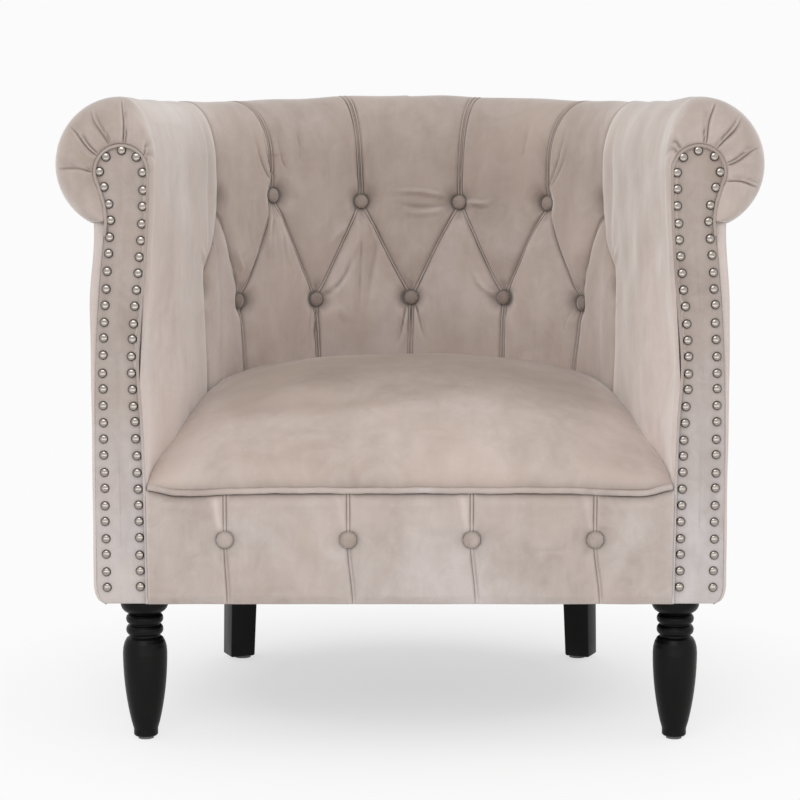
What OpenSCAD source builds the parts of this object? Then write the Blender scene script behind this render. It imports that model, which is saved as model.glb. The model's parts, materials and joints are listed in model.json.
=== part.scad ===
// Tufted club chair: a round-backed armchair with a rolled top edge, turned front legs,
// nail-trimmed scroll panels and a sprung, tight seat.
// The chair faces -Y, stands on z = 0 and is mirrored about x = 0. Units are millimetres.
// Depths are counted back from the front plane, which is the face of the scroll panels.
// The walls follow one plan line: a straight arm on each side, and an arc round the back.
// An offset n is counted outwards from that line, square to it.

/* [Plan] */
// Radius of the plan line round the back
path_r = 285; // [255:1:315]
// Depth of the centre of that arc behind the front plane
tub_depth = 315; // [280:1:350]
// Angle by which each arm opens towards the front
arm_splay = 7; // [3:0.5:9]

/* [Heights] */
// Underside of the upholstered body
body_z = 168; // [140:1:200]
// Centre of the welt between seat and apron
welt_z = 297.7; // [285:0.5:310]
// Top of the rolled edge at the front of the arms
arm_top = 737; // [715:1:760]
// Rise of the rolled edge from the arms to the middle of the back
back_rise = 34; // [0:1:60]
// Crown of the seat
seat_crown_z = 426; // [405:1:440]

/* [Padding] */
// Radius of the rolled edge
roll_r = 75.7; // [70:0.1:80]
// Inside padding of an arm, from the plan line to its face
arm_pad = 37; // [32:0.5:44]
// Inside padding of an arm where it meets the scroll panel
arm_pad_front = 28; // [25:0.5:31]
// Inside padding of the back, from the plan line to the crown of a tuft
back_pad = 48; // [44:0.5:54]
// Depth of a tufting fold below the crowns
fold_deep = 11; // [6:0.5:14]
// Depth of a button's dimple below the crowns
dimple_deep = 18; // [15:0.5:20]
// Crown of the apron's padding in front of the panels
apron_puff = 5; // [3:0.5:7]

/* [Tufting] */
// Spacing of the buttons along the plan line
tuft_pitch = 154.2; // [140:0.2:165]
// Height of the lower row of buttons
lower_row_z = 490; // [475:1:505]
// Height of the upper row of buttons
upper_row_z = 622; // [610:1:632]
// Rise of the lower row's two end buttons
end_button_rise = 25; // [0:1:30]
// Radius of a covered button
button_r = 9.5; // [7:0.5:11]
// Height of a covered button's dome
button_h = 6.5; // [4:0.5:8]
// Spacing of the apron's buttons
apron_pitch = 139; // [120:1:145]
// Height of the apron's buttons
apron_button_z = 241.6; // [225:0.1:255]

/* [Scroll panels] */
// Radius of the panel's round head
head_r = 30; // [26:0.5:34]
// Distance of the head's centre inwards from the arm's plan line
head_in = 6; // [3:0.1:9]
// Height of the head's centre
head_z = 652.8; // [645:0.1:658]
// Thickness of a padded scroll panel
panel_t = 8; // [6:0.5:10]
// Radius of a nail's head
nail_r = 5.6; // [4:0.1:6.5]
// Height of a nail's domed head
nail_h = 3.3; // [2:0.1:4]
// Spacing of the nails
nail_pitch = 19.6; // [15:0.1:24]
// Distance of the nails from the panel's edge
nail_inset = 7.4; // [6.6:0.1:9]
// Diameter of the thin cord round each panel
panel_cord_d = 3.2; // [2:0.1:4]
// Diameter of the welt at the front of the seat
welt_d = 7; // [5:0.5:8]

/* [Wood frame] */
// Thickness of the rails and uprights
rail_t = 26; // [22:1:27]
// Height of the bottom rails
rail_h = 85; // [70:1:88]
// Height of the top rails
top_rail_h = 80; // [60:1:90]
// Thickness of the front posts and the front rail
post_t = 23; // [18:0.5:26]
// Width of an upright in the back
upright_w = 46; // [30:1:60]
// Thickness of the outside covers, with their padding
cover_t = 2.2; // [1.5:0.1:3]
// Height of the corner blocks
block_h = 46; // [35:1:55]

/* [Suspension] */
// Number of sinuous springs under the seat
spring_count = 5; // [3:1:6]
// Spacing of the springs
spring_pitch = 86; // [70:1:90]
// Width of the spring wire
wire_d = 3.6; // [3:0.1:4.5]
// Width of a webbing band
band_w = 50; // [35:1:60]

/* [Legs] */
// Distance of a front leg inwards from the arm's plan line at the front
front_leg_in = 18.8; // [14:0.2:28]
// Depth of a front leg behind the front plane
front_leg_depth = 54; // [45:1:66]
// Largest radius of a front leg, at its cup
cup_r = 27.5; // [22:0.5:30]
// Radius of a front leg's foot
foot_r = 14; // [10:0.5:17]
// Side of a rear leg at its top
rear_leg_a = 38; // [32:1:42]
// Side of a rear leg at its foot
rear_leg_foot = 34; // [26:1:36]
// Angle round the back at which a rear leg stands
rear_leg_at = 54; // [48:1:60]
// Distance of a rear leg inwards from the plan line
rear_leg_in = 1; // [-4:0.5:8]
// Turn of a rear leg about its own axis
rear_leg_turn = 24; // [0:1:45]
// Radius of the leg bolts
bolt_r = 4; // [3:0.5:5]
// Thickness of the glides
glide_h = 3.5; // [2:0.5:6]

/* [Hidden] */
$fn = 48;
fit = 0.3;                      // clearance between soft solids and what they lie against
fabric = "#cbbfb4";
shade = "#a39584";
wood = "#d9b982";
black = "#26211f";
steel = "#b9bcc0";

proud = 8;                      // reach of buttons and welt in front of the panels
depth_back = tub_depth + path_r + roll_r;
front_y = -(depth_back - proud) / 2;
tub_y = front_y + tub_depth;
arc_half = 90 - arm_splay;
s_arc = path_r * arc_half * PI / 180;
s_front = s_arc + (tub_depth + path_r * sin(arm_splay)) / cos(arm_splay);
panel_x = (path_r + tub_depth * sin(arm_splay)) / cos(arm_splay);  // plan line at the front
head_x = panel_x - head_in;

frame_z = body_z + 1.7;         // underside of the wood, above the dust cover
wood_out = 31;                  // offsets of the wood's two faces
wood_in = wood_out - rail_t;
liner_t = 2.3;                  // webbing and arm liners on the inside of the wood
pad_in = wood_in - liner_t - 0.2 - fit;
cover_in = wood_out + fit;
cover_out = cover_in + cover_t;
rail_top = frame_z + rail_h;
cover_top = 592;
top_rail_z = 560;
top_rail_top = top_rail_z + top_rail_h;
post_front = panel_t + fit;     // depths of the post's two faces
post_back = post_front + post_t;
rail_start = post_back + 0.8;
wire_z = rail_top + 0.2;
deck_t = 1.5;
deck_z = rail_top + wire_d + 2.4 + deck_t;
seat_z = deck_z + fit;
last_button = 3;                // lower buttons on each side of the middle one
join_s = last_button * tuft_pitch + 42.4;  // where the arm padding meets the back padding
skin = 1.3;                     // cover of the arm where it wraps the panel's edge
edge_fit = 0.8;                 // clearance of that cover from the panel's faceted edge
head_fit = 1.3;                 // the same round the panel's head
seat_fit = 0.6;                 // clearance of the seat from the inside padding

// Small helpers
function mix(a, b, t) = a + (b - a) * t;
function clamp(x, lo = 0, hi = 1) = max(lo, min(hi, x));
function smooth(x) = let (c = clamp(x)) c * c * (3 - 2 * c);

// Point of the plan at path length s and offset n. A slant of 1 keeps the section square
// to an arm, and 0 turns it into a plane of constant depth.
function depth_of(s) = tub_depth + path_r * sin(arm_splay) - (abs(s) - s_arc) * cos(arm_splay);
function arm_x(depth, n) = (path_r + n + (tub_depth - depth) * sin(arm_splay)) / cos(arm_splay);
function plan(s, n, slant = 1) =
    abs(s) <= s_arc
        ? let (a = s / path_r * 180 / PI) [(path_r + n) * sin(a), tub_y + (path_r + n) * cos(a)]
        : let (d = depth_of(s) + n * sin(arm_splay) * slant)
            [sign(s) * arm_x(d, n), front_y + d];
function s_of_depth(d) = s_arc + (tub_depth + path_r * sin(arm_splay) - d) / cos(arm_splay);

// Height of the rolled edge's centre line along the plan line
function roll_z(s) =
    let (soft = 90, far = sqrt(s_front * s_front + soft * soft) - soft)
    arm_top - roll_r + back_rise * (1 - (sqrt(s * s + soft * soft) - soft) / far);

// Smooth curve through [height, value] knots, by Catmull-Rom on the neighbouring knots
function knot_value(k, z) =
    let (i = max([for (j = [0:len(k) - 2]) if (j == 0 || k[j][0] <= z) j]),
         a = k[max(i - 1, 0)], b = k[i], c = k[i + 1], e = k[min(i + 2, len(k) - 1)],
         t = clamp((z - b[0]) / (c[0] - b[0])),
         m1 = (c[1] - a[1]) / (c[0] - a[0]) * (c[0] - b[0]),
         m2 = (e[1] - b[1]) / (e[0] - b[0]) * (c[0] - b[0]))
    (2 * t * t * t - 3 * t * t + 1) * b[1] + (t * t * t - 2 * t * t + t) * m1
        + (3 * t * t - 2 * t * t * t) * c[1] + (t * t * t - t * t) * m2;

// Edges of a scroll panel, by their distance from the plan line: its inner side, and its
// outer side below the neck
neck_z = head_z - 54;
inner_edge = concat([for (k = [[body_z, 29.8], [301, 28.1], [377, 25.6], [433, 22.2], [478, 24.7],
    [545, 31.1], [head_z - 42, 35.2]]) [k[0], panel_x - k[1]]], [[head_z, head_x - head_r]]);
outer_edge = [for (k = [[body_z, 27.7], [343, 27.5], [455, 24.7], [533, 19.1], [neck_z, 12.1]])
    [k[0], panel_x + k[1]]];
function inner_x(z) = knot_value(inner_edge, z);
function outer_x(z) = knot_value(outer_edge, z);

// Outline of a panel drawn in by an inset, as [x, z], from its inner foot over the head
edge_z = [for (i = [0:20]) mix(body_z, head_z - 8, i / 20)];
outer_z = [for (i = [0:18]) mix(neck_z, body_z, i / 18)];
function panel_outline(inset) = concat(
    [for (z = edge_z) [inner_x(z) + inset, max(z, body_z + max(inset, 0))]],
    [for (a = [180:-15:-30]) [head_x + (head_r - inset) * cos(a),
        head_z + (head_r - inset) * sin(a)]],
    [[mix(head_x + head_r, outer_x(neck_z), 0.85) - inset, neck_z + 18]],
    [for (z = outer_z) [outer_x(z) - inset, max(z, body_z + max(inset, 0))]]);

// Triangles that close one ring. Each point of its first side is linked to a point of its
// second side, and the links run back towards the first side's end.
function ladder(links) = [for (i = [0:len(links) - 2])
    each concat([[i, i + 1, links[i]]],
        links[i] > links[i + 1] ? [for (j = [links[i]:-1:links[i + 1] + 1]) [i + 1, j - 1, j]] : [])];

// A closed skin through rings of equal length, capped at both ends
module loft(rings, links_first = undef, links_last = undef) {
    count = len(rings[0]);
    last = len(rings) - 1;
    fan = [for (i = [0:count - 2]) count - 1];
    polyhedron(
        points = [for (r = rings) for (p = r) p],
        faces = concat(
            ladder(is_undef(links_first) ? fan : links_first),
            [for (i = [0:last - 1]) for (j = [0:count - 1]) for (half = [0, 1])
                let (a = i * count + j, b = i * count + (j + 1) % count,
                     c = a + count, d = b + count)
                half == 0 ? [a, c, b] : [b, c, d]],
            [for (f = ladder(is_undef(links_last) ? fan : links_last))
                [for (j = [2, 1, 0]) last * count + f[j]]]),
        convexity = 10);
}

// A tube along points, with a ring square to the path at each
module tube(points, r, sides) {
    last = len(points) - 1;
    loft([for (i = [0:last])
        let (t = points[min(i + 1, last)] - points[max(i - 1, 0)],
             w = t / norm(t),
             ref = abs(w[1]) > 0.9 ? [1, 0, 0] : [0, 1, 0],
             u = cross(ref, w) / norm(cross(ref, w)),
             v = cross(w, u))
        [for (k = [0:sides - 1]) let (a = 360 * (k + 0.5) / sides)
            points[i] + r * cos(a) * u + r * sin(a) * v]]);
}

post_in = 2.2;                  // how far the post's outline is drawn in from the panel's
rail_half = inner_x(body_z) + post_in - 0.2;

// Wood frame. A bar follows an arm between two offsets, from one depth to the arc.
module arm_bar(side, n0, n1, z0, z1, start = rail_start) {
    tangent = [for (n = [n0, n1]) [(path_r + n) * cos(arm_splay),
        tub_y + (path_r + n) * sin(arm_splay)]];
    scale_x = side < 0 ? [1, 0, 0] : [0, 0, 0];
    mirror(scale_x) translate([0, 0, z0]) linear_extrude(z1 - z0)
        polygon([[arm_x(start, n0), front_y + start], [arm_x(start, n1), front_y + start],
            tangent[1], tangent[0]]);
}

module arc_bar(n0, n1, z0, z1, from = -arc_half, to = arc_half) {
    translate([0, tub_y, 0]) rotate([0, 0, 90 - to])
        rotate_extrude(angle = to - from, $fn = 96)
            translate([path_r + n0, z0]) square([n1 - n0, z1 - z0]);
}

module front_rail() color(wood)
    translate([-rail_half, front_y + post_front, frame_z]) cube([2 * rail_half, post_t, rail_h]);

module side_rail(side) color(wood) arm_bar(side, wood_in, wood_out, frame_z, rail_top);

module back_rail() color(wood) arc_bar(wood_in, wood_out, frame_z, rail_top);

// Front post: a board with the panel's outline, drawn in a little
module front_post(side) color(wood) {
    mirror([side < 0 ? 1 : 0, 0, 0]) translate([0, front_y + post_back, 0]) rotate([90, 0, 0])
        linear_extrude(post_t)
            polygon([for (p = panel_outline(post_in)) [p[0], max(p[1], frame_z)]]);
}

module arm_top_rail(side) color(wood)
    arm_bar(side, wood_in, wood_out, top_rail_z, top_rail_top);

module back_top_rail() color(wood)
    arc_bar(wood_in, wood_out, top_rail_z, top_rail_top);

// The inner uprights stand midway between the last two springs on each side
module back_uprights() color(wood) {
    half = upright_w / 2 / path_r * 180 / PI;
    middle = asin((spring_x(spring_count - 1) - spring_pitch / 2)
        / (path_r + (wood_in + wood_out) / 2));
    for (at = [-76, -middle, middle, 76])
        arc_bar(wood_in, wood_out, rail_top, top_rail_z, at - half, at + half);
}

// Where the legs are bolted on, as [x, y]
front_leg_at = [panel_x - front_leg_in, front_y + front_leg_depth];
rear_leg_xy = [(path_r - rear_leg_in) * sin(rear_leg_at),
    tub_y + (path_r - rear_leg_in) * cos(rear_leg_at)];
rear_bolt_in = 8;               // how far inwards a rear bolt clears the back rail
rear_bolt_xy = [(path_r - rear_bolt_in) * sin(rear_leg_at),
    tub_y + (path_r - rear_bolt_in) * cos(rear_leg_at)];
block_reach = 74;
module bolt_places() {
    for (side = [-1, 1]) {
        translate([side * front_leg_at[0], front_leg_at[1], 0]) children();
        translate([side * rear_bolt_xy[0], rear_bolt_xy[1], 0]) children();
    }
}

nut_r = 5.5;
module corner_blocks() color(wood) difference() {
    union() {
        for (side = [0, 1]) mirror([side, 0, 0])
            translate([0, 0, frame_z]) linear_extrude(block_h) polygon([
                [arm_x(rail_start, wood_in) - block_reach, front_y + post_back],
                [arm_x(post_back, wood_in), front_y + post_back],
                [arm_x(post_back + block_reach, wood_in), front_y + post_back + block_reach]]);
        half = 9;
        for (at = [-rear_leg_at, rear_leg_at])
            arc_bar(wood_in - 34, wood_in - fit, frame_z, frame_z + block_h, at - half, at + half);
    }
    bolt_places() translate([0, 0, frame_z - 1]) cylinder(r = bolt_r, h = block_h + 2);
    bolt_places() translate([0, 0, frame_z + block_h - 10]) cylinder(r = nut_r, h = 11);
}

// Boards and bands that carry the inside padding
module arm_liner(side) color(shade)
    arm_bar(side, wood_in - liner_t - 0.2, wood_in - 0.2, frame_z + block_h + 1,
        top_rail_top - 1);

module back_webbing() color(shade)
    for (i = [0:3]) let (z = mix(rail_top + 45, top_rail_top - band_w - 15, i / 3))
        arc_bar(wood_in - liner_t - 0.2, wood_in - 0.2, z, z + band_w);

// Sinuous springs: bars across, joined by half rings at alternate ends
bend_r = 13;
bar_half = 13;
spring_front = post_front + 9;
function spring_x(i) = (i - (spring_count - 1) / 2) * spring_pitch;
function spring_end(x) = tub_depth + sqrt(pow(path_r + (wood_in + wood_out) / 2, 2) - x * x);
module half_ring(out) {
    intersection() {
        difference() {
            circle(r = bend_r + wire_d / 2);
            circle(r = bend_r - wire_d / 2);
        }
        translate([out > 0 ? 0 : -2 * bend_r, -2 * bend_r]) square([2 * bend_r, 4 * bend_r]);
    }
}

module seat_springs() color(steel) {
    for (i = [0:spring_count - 1]) {
        x = spring_x(i);
        span = spring_end(x) - spring_front;
        bars = floor((span - 20) / (2 * bend_r));
        lead = (span - (bars - 1) * 2 * bend_r) / 2;
        start = front_y + spring_front + lead;
        translate([x, start, wire_z]) linear_extrude(wire_d) {
            for (k = [0:bars - 1]) {
                left = k == 0 ? -wire_d / 2 : -bar_half;
                right = k == bars - 1 ? wire_d / 2 : bar_half;
                odd = k % 2 == 1;
                from = k == bars - 1 && odd ? -wire_d / 2 : left;
                to = k == bars - 1 && odd ? bar_half : right;
                translate([from, k * 2 * bend_r - wire_d / 2]) square([to - from, wire_d]);
            }
            for (k = [0:bars - 2]) {
                out = k % 2 == 0 ? 1 : -1;
                translate([out * bar_half, (2 * k + 1) * bend_r]) half_ring(out);
            }
            translate([-wire_d / 2, -lead]) square([wire_d, lead]);
            translate([-wire_d / 2, (bars - 1) * 2 * bend_r]) square([wire_d, lead]);
        }
    }
}

// Clips that hold each spring's ends on the rails: two cheeks and a bridge over the wire
clip_l = 10;
clip_t = 4;
clip_t_top = 1.2;
clip_air = 0.3;
clip_top = rail_top + wire_d + 0.9;
module spring_clips() color(steel)
    for (i = [0:spring_count - 1], back = [0, 1]) {
        x = spring_x(i);
        d = back == 0 ? spring_front + 3 : spring_end(x) - 3;
        reach = wire_d / 2 + clip_air + clip_t;
        translate([x, front_y + d - clip_l / 2, 0]) {
            for (near = [-reach, reach - clip_t])
                translate([near, 0, rail_top]) cube([clip_t, clip_l, clip_top - rail_top]);
            translate([-reach, 0, clip_top]) cube([2 * reach, clip_l, clip_t_top]);
        }
    }

// Plan of the space inside the padding or the frame, at an offset, as a closed outline
function tub_outline(n, start, step = 6) = let (
    half = [for (a = [0:step:arc_half]) [(path_r + n) * sin(a), tub_y + (path_r + n) * cos(a)]],
    tangent = [(path_r + n) * cos(arm_splay), tub_y + (path_r + n) * sin(arm_splay)],
    right = concat(half, [tangent, [arm_x(start, n), front_y + start]]))
    concat(right, [for (i = [len(right) - 1:-1:1]) [-right[i][0], right[i][1]]]);

// The deck lies over the springs, with a tongue between the posts over the front rail
module seat_deck() color(shade)
    translate([0, 0, deck_z - deck_t]) linear_extrude(deck_t) {
        polygon(tub_outline(wood_in - liner_t - 1, post_back + fit));
        translate([-rail_half, front_y + post_front]) square([2 * rail_half, post_t + 1]);
    }

// Seat: the height of its edge against the arms and of its crown, along the depth
edge_line = [[-60, 270], [0, welt_z + 3.5], [55, 319], [130, 351], [240, 377], [320, 388],
    [407, 396], [560, 392]];
crown_line = [[-40, 210], [0, welt_z], [14, 333], [45, 363], [100, 391], [180, 414],
    [300, seat_crown_z], [400, seat_crown_z - 3], [560, 402]];
function pad_face(s) = let (d = depth_of(s))
    abs(s) >= s_arc ? mix(arm_pad_front, arm_pad, smooth(d / 150))
        : mix(back_pad, arm_pad, smooth((abs(s) - 230) / (s_arc - 230)));
function arm_edge(z) = inner_x(z) - edge_fit - skin;
function arm_grow(d) = smooth((d - 20) / 95);
arm_steps = [130, 95, 68, 45];  // depths of the sections that the seat and the arms share
seat_rim = path_r - back_pad - 1.5;
function seat_half(d) =
    let (s = s_of_depth(d))
    d < tub_depth ? mix(arm_edge(seat_z), arm_x(d, -pad_face(max(s, s_arc))), arm_grow(d)) - seat_fit
        : let (a = asin(clamp((d - tub_depth) / seat_rim)), fade = smooth((d - tub_depth) / 120))
            mix(path_r - arm_pad, seat_rim, fade) * cos(a) - seat_fit;
function seat_top(x, d) =
    let (w = max(seat_half(d), 1), e = knot_value(edge_line, d), c = knot_value(crown_line, d),
         t = clamp(abs(x) / w))
    e + (c - e) * pow(1 - pow(t, 2.4), 0.8);
module seat_cushion() color(fabric) {
    across = [for (i = [-9:9]) sin(i * 10)];
    under = [1, 0.95, 0.9, 0.83, 0.74, 0.6];
    links = [for (i = [0:18]) i < 6 ? 30 - i : min(25, 37 - i)];
    stations = concat([0.1, 3, 8.4, 8.8, 16, 28], [for (i = [3:-1:0]) arm_steps[i]],
        [170, 210, 250, 290], [for (a = [5, 16, 28, 40, 51, 61, 70, 77, 83, 87]) tub_depth + seat_rim * sin(a)]);
    loft([for (d = stations)
        let (w = seat_half(d), front = d < post_front + 0.2)
        concat(
            [for (t = across) [t * w, front_y + d, seat_top(t * w, d)]],
            [for (side = [1, -1]) each [for (t = side > 0 ? under : [for (i = [5:-1:0]) under[i]])
                let (x = side * t * w)
                [x, front_y + d, front ? welt_line(x) - welt_d / 2 + seat_fit : seat_z]]])], links, links);
}

// The welt dips a little near its ends and turns up against the panels
welt_edge = inner_x(welt_z);
function welt_line(x) = let (from_end = welt_edge - abs(x))
    welt_z - 4 * exp(-pow((from_end - 41.6) / 34, 2)) + 5 * smooth((23.6 - from_end) / 22);
welt_end = welt_edge - panel_cord_d / 2 - 0.8;
welt_y = front_y - welt_d / 2 - fit;
module seat_welt() color(fabric) {
    near_end = [for (from_end = [75.6, 57.6, 41.6, 27.6, 15.6, 7.6]) welt_edge - from_end];
    half = concat([for (i = [0:4]) i / 4 * (welt_edge - 97.6)], near_end, [welt_end]);
    stops = concat([for (i = [len(half) - 1:-1:1]) -half[i]], half);
    tube([for (x = stops) [x, welt_y, welt_line(x)]], welt_d / 2, 8);
}

// Apron: five pillows between four buttoned pleats
apron_half = inner_x(body_z + 40) - 1.6;
apron_back = post_front - fit;
dimple = 12;                    // half width of the flat that a button lies on
function pleat_x(k) = (k - 1.5) * apron_pitch;
function strip(z, row) = mix(dimple, 3, smooth((abs(z - row) - dimple) / 60));
apron_rows = [body_z, body_z + 5, 190, 212, apron_button_z - dimple, apron_button_z + dimple,
    272, 287, welt_z - 5];
// A place is [pleat, step], where six steps cross the pillow to the right of a pleat
function apron_x(p, z) = let (
    a = p[0] == -1 ? -apron_half : pleat_x(p[0]) + strip(z, apron_button_z),
    b = p[0] == 3 ? apron_half : pleat_x(p[0] + 1) - strip(z, apron_button_z))
    mix(a, b, [0, 0.12, 0.36, 0.64, 0.88, 1][p[1]]);
function apron_out(p, z) = let (
    end = (p[0] == -1 && p[1] <= 1) || (p[0] == 3 && p[1] >= 4) ? 0.2 : 1,
    roll = min(1, (z - body_z) / 12, (welt_z - z) / 12 + 0.2))
    [0, 0.62, 1, 1, 0.62, 0][p[1]] * end * roll * apron_puff;
function under_welt(x) = welt_line(x) - welt_d / 2 - seat_fit;
module apron_cover() color(fabric)
    loft([for (k = [3:-1:-1]) for (f = [5:-1:0]) let (p = [k, f], top = apron_x(p, welt_z))
        concat(
            [for (z = apron_rows) let (x = apron_x(p, z))
                [x, front_y - apron_out(p, z) + (z < body_z + 1 ? 3 : 0),
                    z > welt_z - 6 ? under_welt(x) : z]],
            [[top, front_y + apron_back, under_welt(top)],
             [apron_x(p, body_z), front_y + apron_back, body_z]])]);

// A covered button: a shallow dome with a rounded rim, facing +Z
module button() {
    rim = 1.6;
    rotate_extrude($fn = 40) intersection() {
        translate([0, rim - (pow(button_r, 2) / (2 * (button_h - rim)) - (button_h - rim) / 2)])
            circle(r = (pow(button_r, 2) + pow(button_h - rim, 2)) / (2 * (button_h - rim)),
                $fn = 120);
        square([button_r, button_h]);
    }
}

module apron_buttons() color(fabric)
    for (k = [0:3]) translate([pleat_x(k), front_y - fit, apron_button_z])
        rotate([90, 0, 0]) button();

// Tufting on the inside of the back. Heights count from the lower row in units of the row
// spacing, and places along the plan line in units of the pitch. A fold runs from each lower
// button to the two upper ones beside it, straight down below the lower row, and straight
// up above the upper row.
row_gap = upper_row_z - lower_row_z;
flat_u = dimple / tuft_pitch;
function fold_at(z) =
    let (v = (z - lower_row_z) / row_gap,
         away = max(-v, v - 1, 0) * row_gap,
         least = mix(flat_u, 0.02, smooth((away - dimple) / 70)))
    clamp(v / 2, least, 0.5 - least);
// Columns in one pitch: 0 to 2 cross the pillow above a lower button, 3 to 5 the next one.
// Past the last lower button the columns draw together before the arm's plain padding.
first_col = -6 * last_button;
last_col = 6 * last_button + 3;
function ease_end(u) = let (past = max(0, abs(u) - last_button))
    sign(u) * (abs(u) - past + min(past, flat_u) + max(0, past - flat_u) * 0.3);
function column_u(c, z) =
    let (k = floor(c / 6), m = c - 6 * k, f = fold_at(z))
    m < 3 ? k - f + [0, 0.28, 0.72][m] * 2 * f : k + f + [0, 0.28, 0.72][m - 3] * (1 - 2 * f);
function even_s(c) = join_s * (2 * (c - first_col + 1) / (last_col - first_col + 2) - 1);
function column_s(c, z, even = 0) = c < first_col || c > last_col ? even_s(c)
    : mix(ease_end(column_u(c, z)) * tuft_pitch, even_s(c), even);
function column_dip(c, z) =
    let (m = c - 6 * floor(c / 6), f = fold_at(z), wide = (m < 3 ? 2 * f : 1 - 2 * f) - 2 * flat_u,
         near = min(abs(z - lower_row_z), abs(z - upper_row_z)),
         valley = mix(dimple_deep, fold_deep, smooth((near - dimple) / 34)),
         end = abs(column_u(c, z)) > last_button + 0.01
             ? 1 - smooth((z - lower_row_z - dimple) / 40) : 1)
    c < first_col || c > last_col ? 0
        : end * valley * (m == 0 || m == 3 ? 1 : 1 - pow(clamp(wide * 3), 0.6));
// The lower row rises towards its two ends, and the cover between the rows follows it
function end_rise(s, z) = end_button_rise * smooth((abs(s) / tuft_pitch - 2.2) / 0.8)
    * smooth(z < lower_row_z ? (z - seat_z) / (lower_row_z - dimple - seat_z)
        : (upper_row_z - dimple - z) / (row_gap - 2 * dimple));
// Folds fade towards the seat and over the roll
tuft_low = seat_crown_z - 34;
function tuft_fade(z) =
    smooth((z - tuft_low) / 60) * (1 - 0.8 * smooth((z - upper_row_z - 20) / 150));

head_reach = (arm_x(0, 0) - head_x + head_r + head_fit + skin) * cos(arm_splay);
roll_even = 108;                // past this angle of the roll the columns spread out evenly
roll_angles = [160, 135, 108, 82, 55, 28, 0, -30, -58];
function roll_point(s, a) = [cos(a) * (a > 90 ? max(pad_face(s), head_reach) : roll_r),
    roll_z(s) + roll_r * sin(a)];
back_rows = [seat_z, 340, 398, 440, lower_row_z - dimple, lower_row_z + dimple, 530, 556, 582,
    upper_row_z - dimple, upper_row_z + dimple, 668];
fold_top = upper_row_z + 60;
slot_out = cover_in + 0.3;      // the slot's flat steps stay clear of the round top rail
slot = [[cover_out, cover_top + fit], [slot_out, cover_top + fit],
    [slot_out, top_rail_top + fit], [pad_in, top_rail_top + fit], [pad_in, seat_z]];
back_links = concat([25], [for (i = [1:15]) 24], [for (i = [16:19]) 23], [21]);
module inside_back() color(fabric)
    loft([for (c = [last_col + 1:-1:first_col - 1])
        concat(
            [for (z = back_rows) let (s = column_s(c, z, 1 - smooth((z - tuft_low + 17) / 60)),
                    dip = column_dip(c, z) * tuft_fade(z))
                concat(plan(s, dip - pad_face(s)), z + end_rise(s, z))],
            [for (a = roll_angles) let (s = column_s(c, fold_top, smooth((roll_even - a) / 140)),
                    p = roll_point(s, a),
                    dip = column_dip(c, fold_top) * tuft_fade(a > 90 ? p[1] : p[1] + 90) * 0.6)
                concat(plan(s, p[0] - dip * cos(a)), p[1] - dip * sin(a))],
            [for (h = slot) concat(plan(even_s(c), h[0]), h[1])])], back_links, back_links);

// Inside arm: the same section without tufts, drawn forward round the panel's head. Its
// cover wraps the post and the panel's edge with a thin skin.
arm_rows = [seat_z, 340, 400, 455, 510, 565, 615, 645];
function head_point(a) = a < -50 ? [outer_x(neck_z) + edge_fit, neck_z]
    : [head_x + (head_r + head_fit) * cos(a), head_z + (head_r + head_fit) * sin(a)];
// Each point that shows has one behind it: [offset, height] behind the post, and
// [x, height] round the post and the panel
hidden_slot = concat([[cover_out, cover_top + fit], [cover_in, cover_top + fit]],
    [for (t = [0.25, 0.5, 0.75, 1]) [cover_in, mix(cover_top, top_rail_top, t) + fit]],
    [for (t = [0.33, 0.67, 1]) [mix(cover_in, pad_in, t), top_rail_top + fit]],
    [for (i = [len(arm_rows) - 1:-1:0]) [pad_in, min(arm_rows[i], top_rail_top - 6)]]);
panel_edge = concat([for (z = arm_rows) [inner_x(z) - edge_fit, z]],
    [for (a = roll_angles) head_point(a)]);
hidden_head = [for (i = [len(panel_edge) - 1:-1:0]) panel_edge[i]];
function arm_section(d, round_post) =
    let (s = s_of_depth(d), slant = smooth(d / 200))
    concat(
        [for (z = arm_rows) let (face = plan(s, -pad_face(s), slant))
            [mix(arm_edge(z), face[0], arm_grow(d)), mix(front_y + d, face[1], slant), z]],
        [for (a = roll_angles) let (p = roll_point(s, a)) concat(plan(s, p[0], slant), p[1])],
        round_post ? [for (h = hidden_head) [h[0], front_y + d, h[1]]]
            : [for (h = hidden_slot) concat(plan(s, h[0], slant), h[1])]);
// The front lip swells forward and closes on the panel's edge: [share of the roll, depth]
lip_steps = [[0.985, 6], [0.93, 0.5], [0.82, -4], [0.6, -7], [0.35, -7.4], [0.12, -4.5]];
arm_links = [for (i = [0:len(panel_edge) - 1]) 2 * len(panel_edge) - 1 - i];
module inside_arm(side) color(fabric) {
    start = 14;
    base = arm_section(start, true);
    seen = len(panel_edge);
    lip = [for (k = lip_steps) [for (j = [0:len(base) - 1])
        let (out = j < seen ? norm([base[j][0] - panel_edge[j][0], base[j][2] - panel_edge[j][1]]) : 0,
             swell = clamp((out - 14) / 36), d = mix(0.4 + k[0] * 8, k[1], swell))
        j < seen ? [mix(panel_edge[j][0], base[j][0], k[0]), front_y + d,
                mix(panel_edge[j][1], base[j][2], k[0])]
            : [base[j][0], front_y + 0.6 + k[0] * 8, base[j][2]]]];
    rings = concat(
        [for (t = [0:2]) arm_section(mix(depth_of(join_s), arm_steps[0], t / 3), false)],
        [for (d = arm_steps) arm_section(d, false)],
        [arm_section(post_back + 0.2, false)],
        [for (d = [post_back + 0.1, 22, start]) arm_section(d, true)],
        lip);
    mirror([side < 0 ? 1 : 0, 0, 0])
        loft([for (i = [len(rings) - 1:-1:0]) rings[i]], arm_links, arm_links);
}

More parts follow.
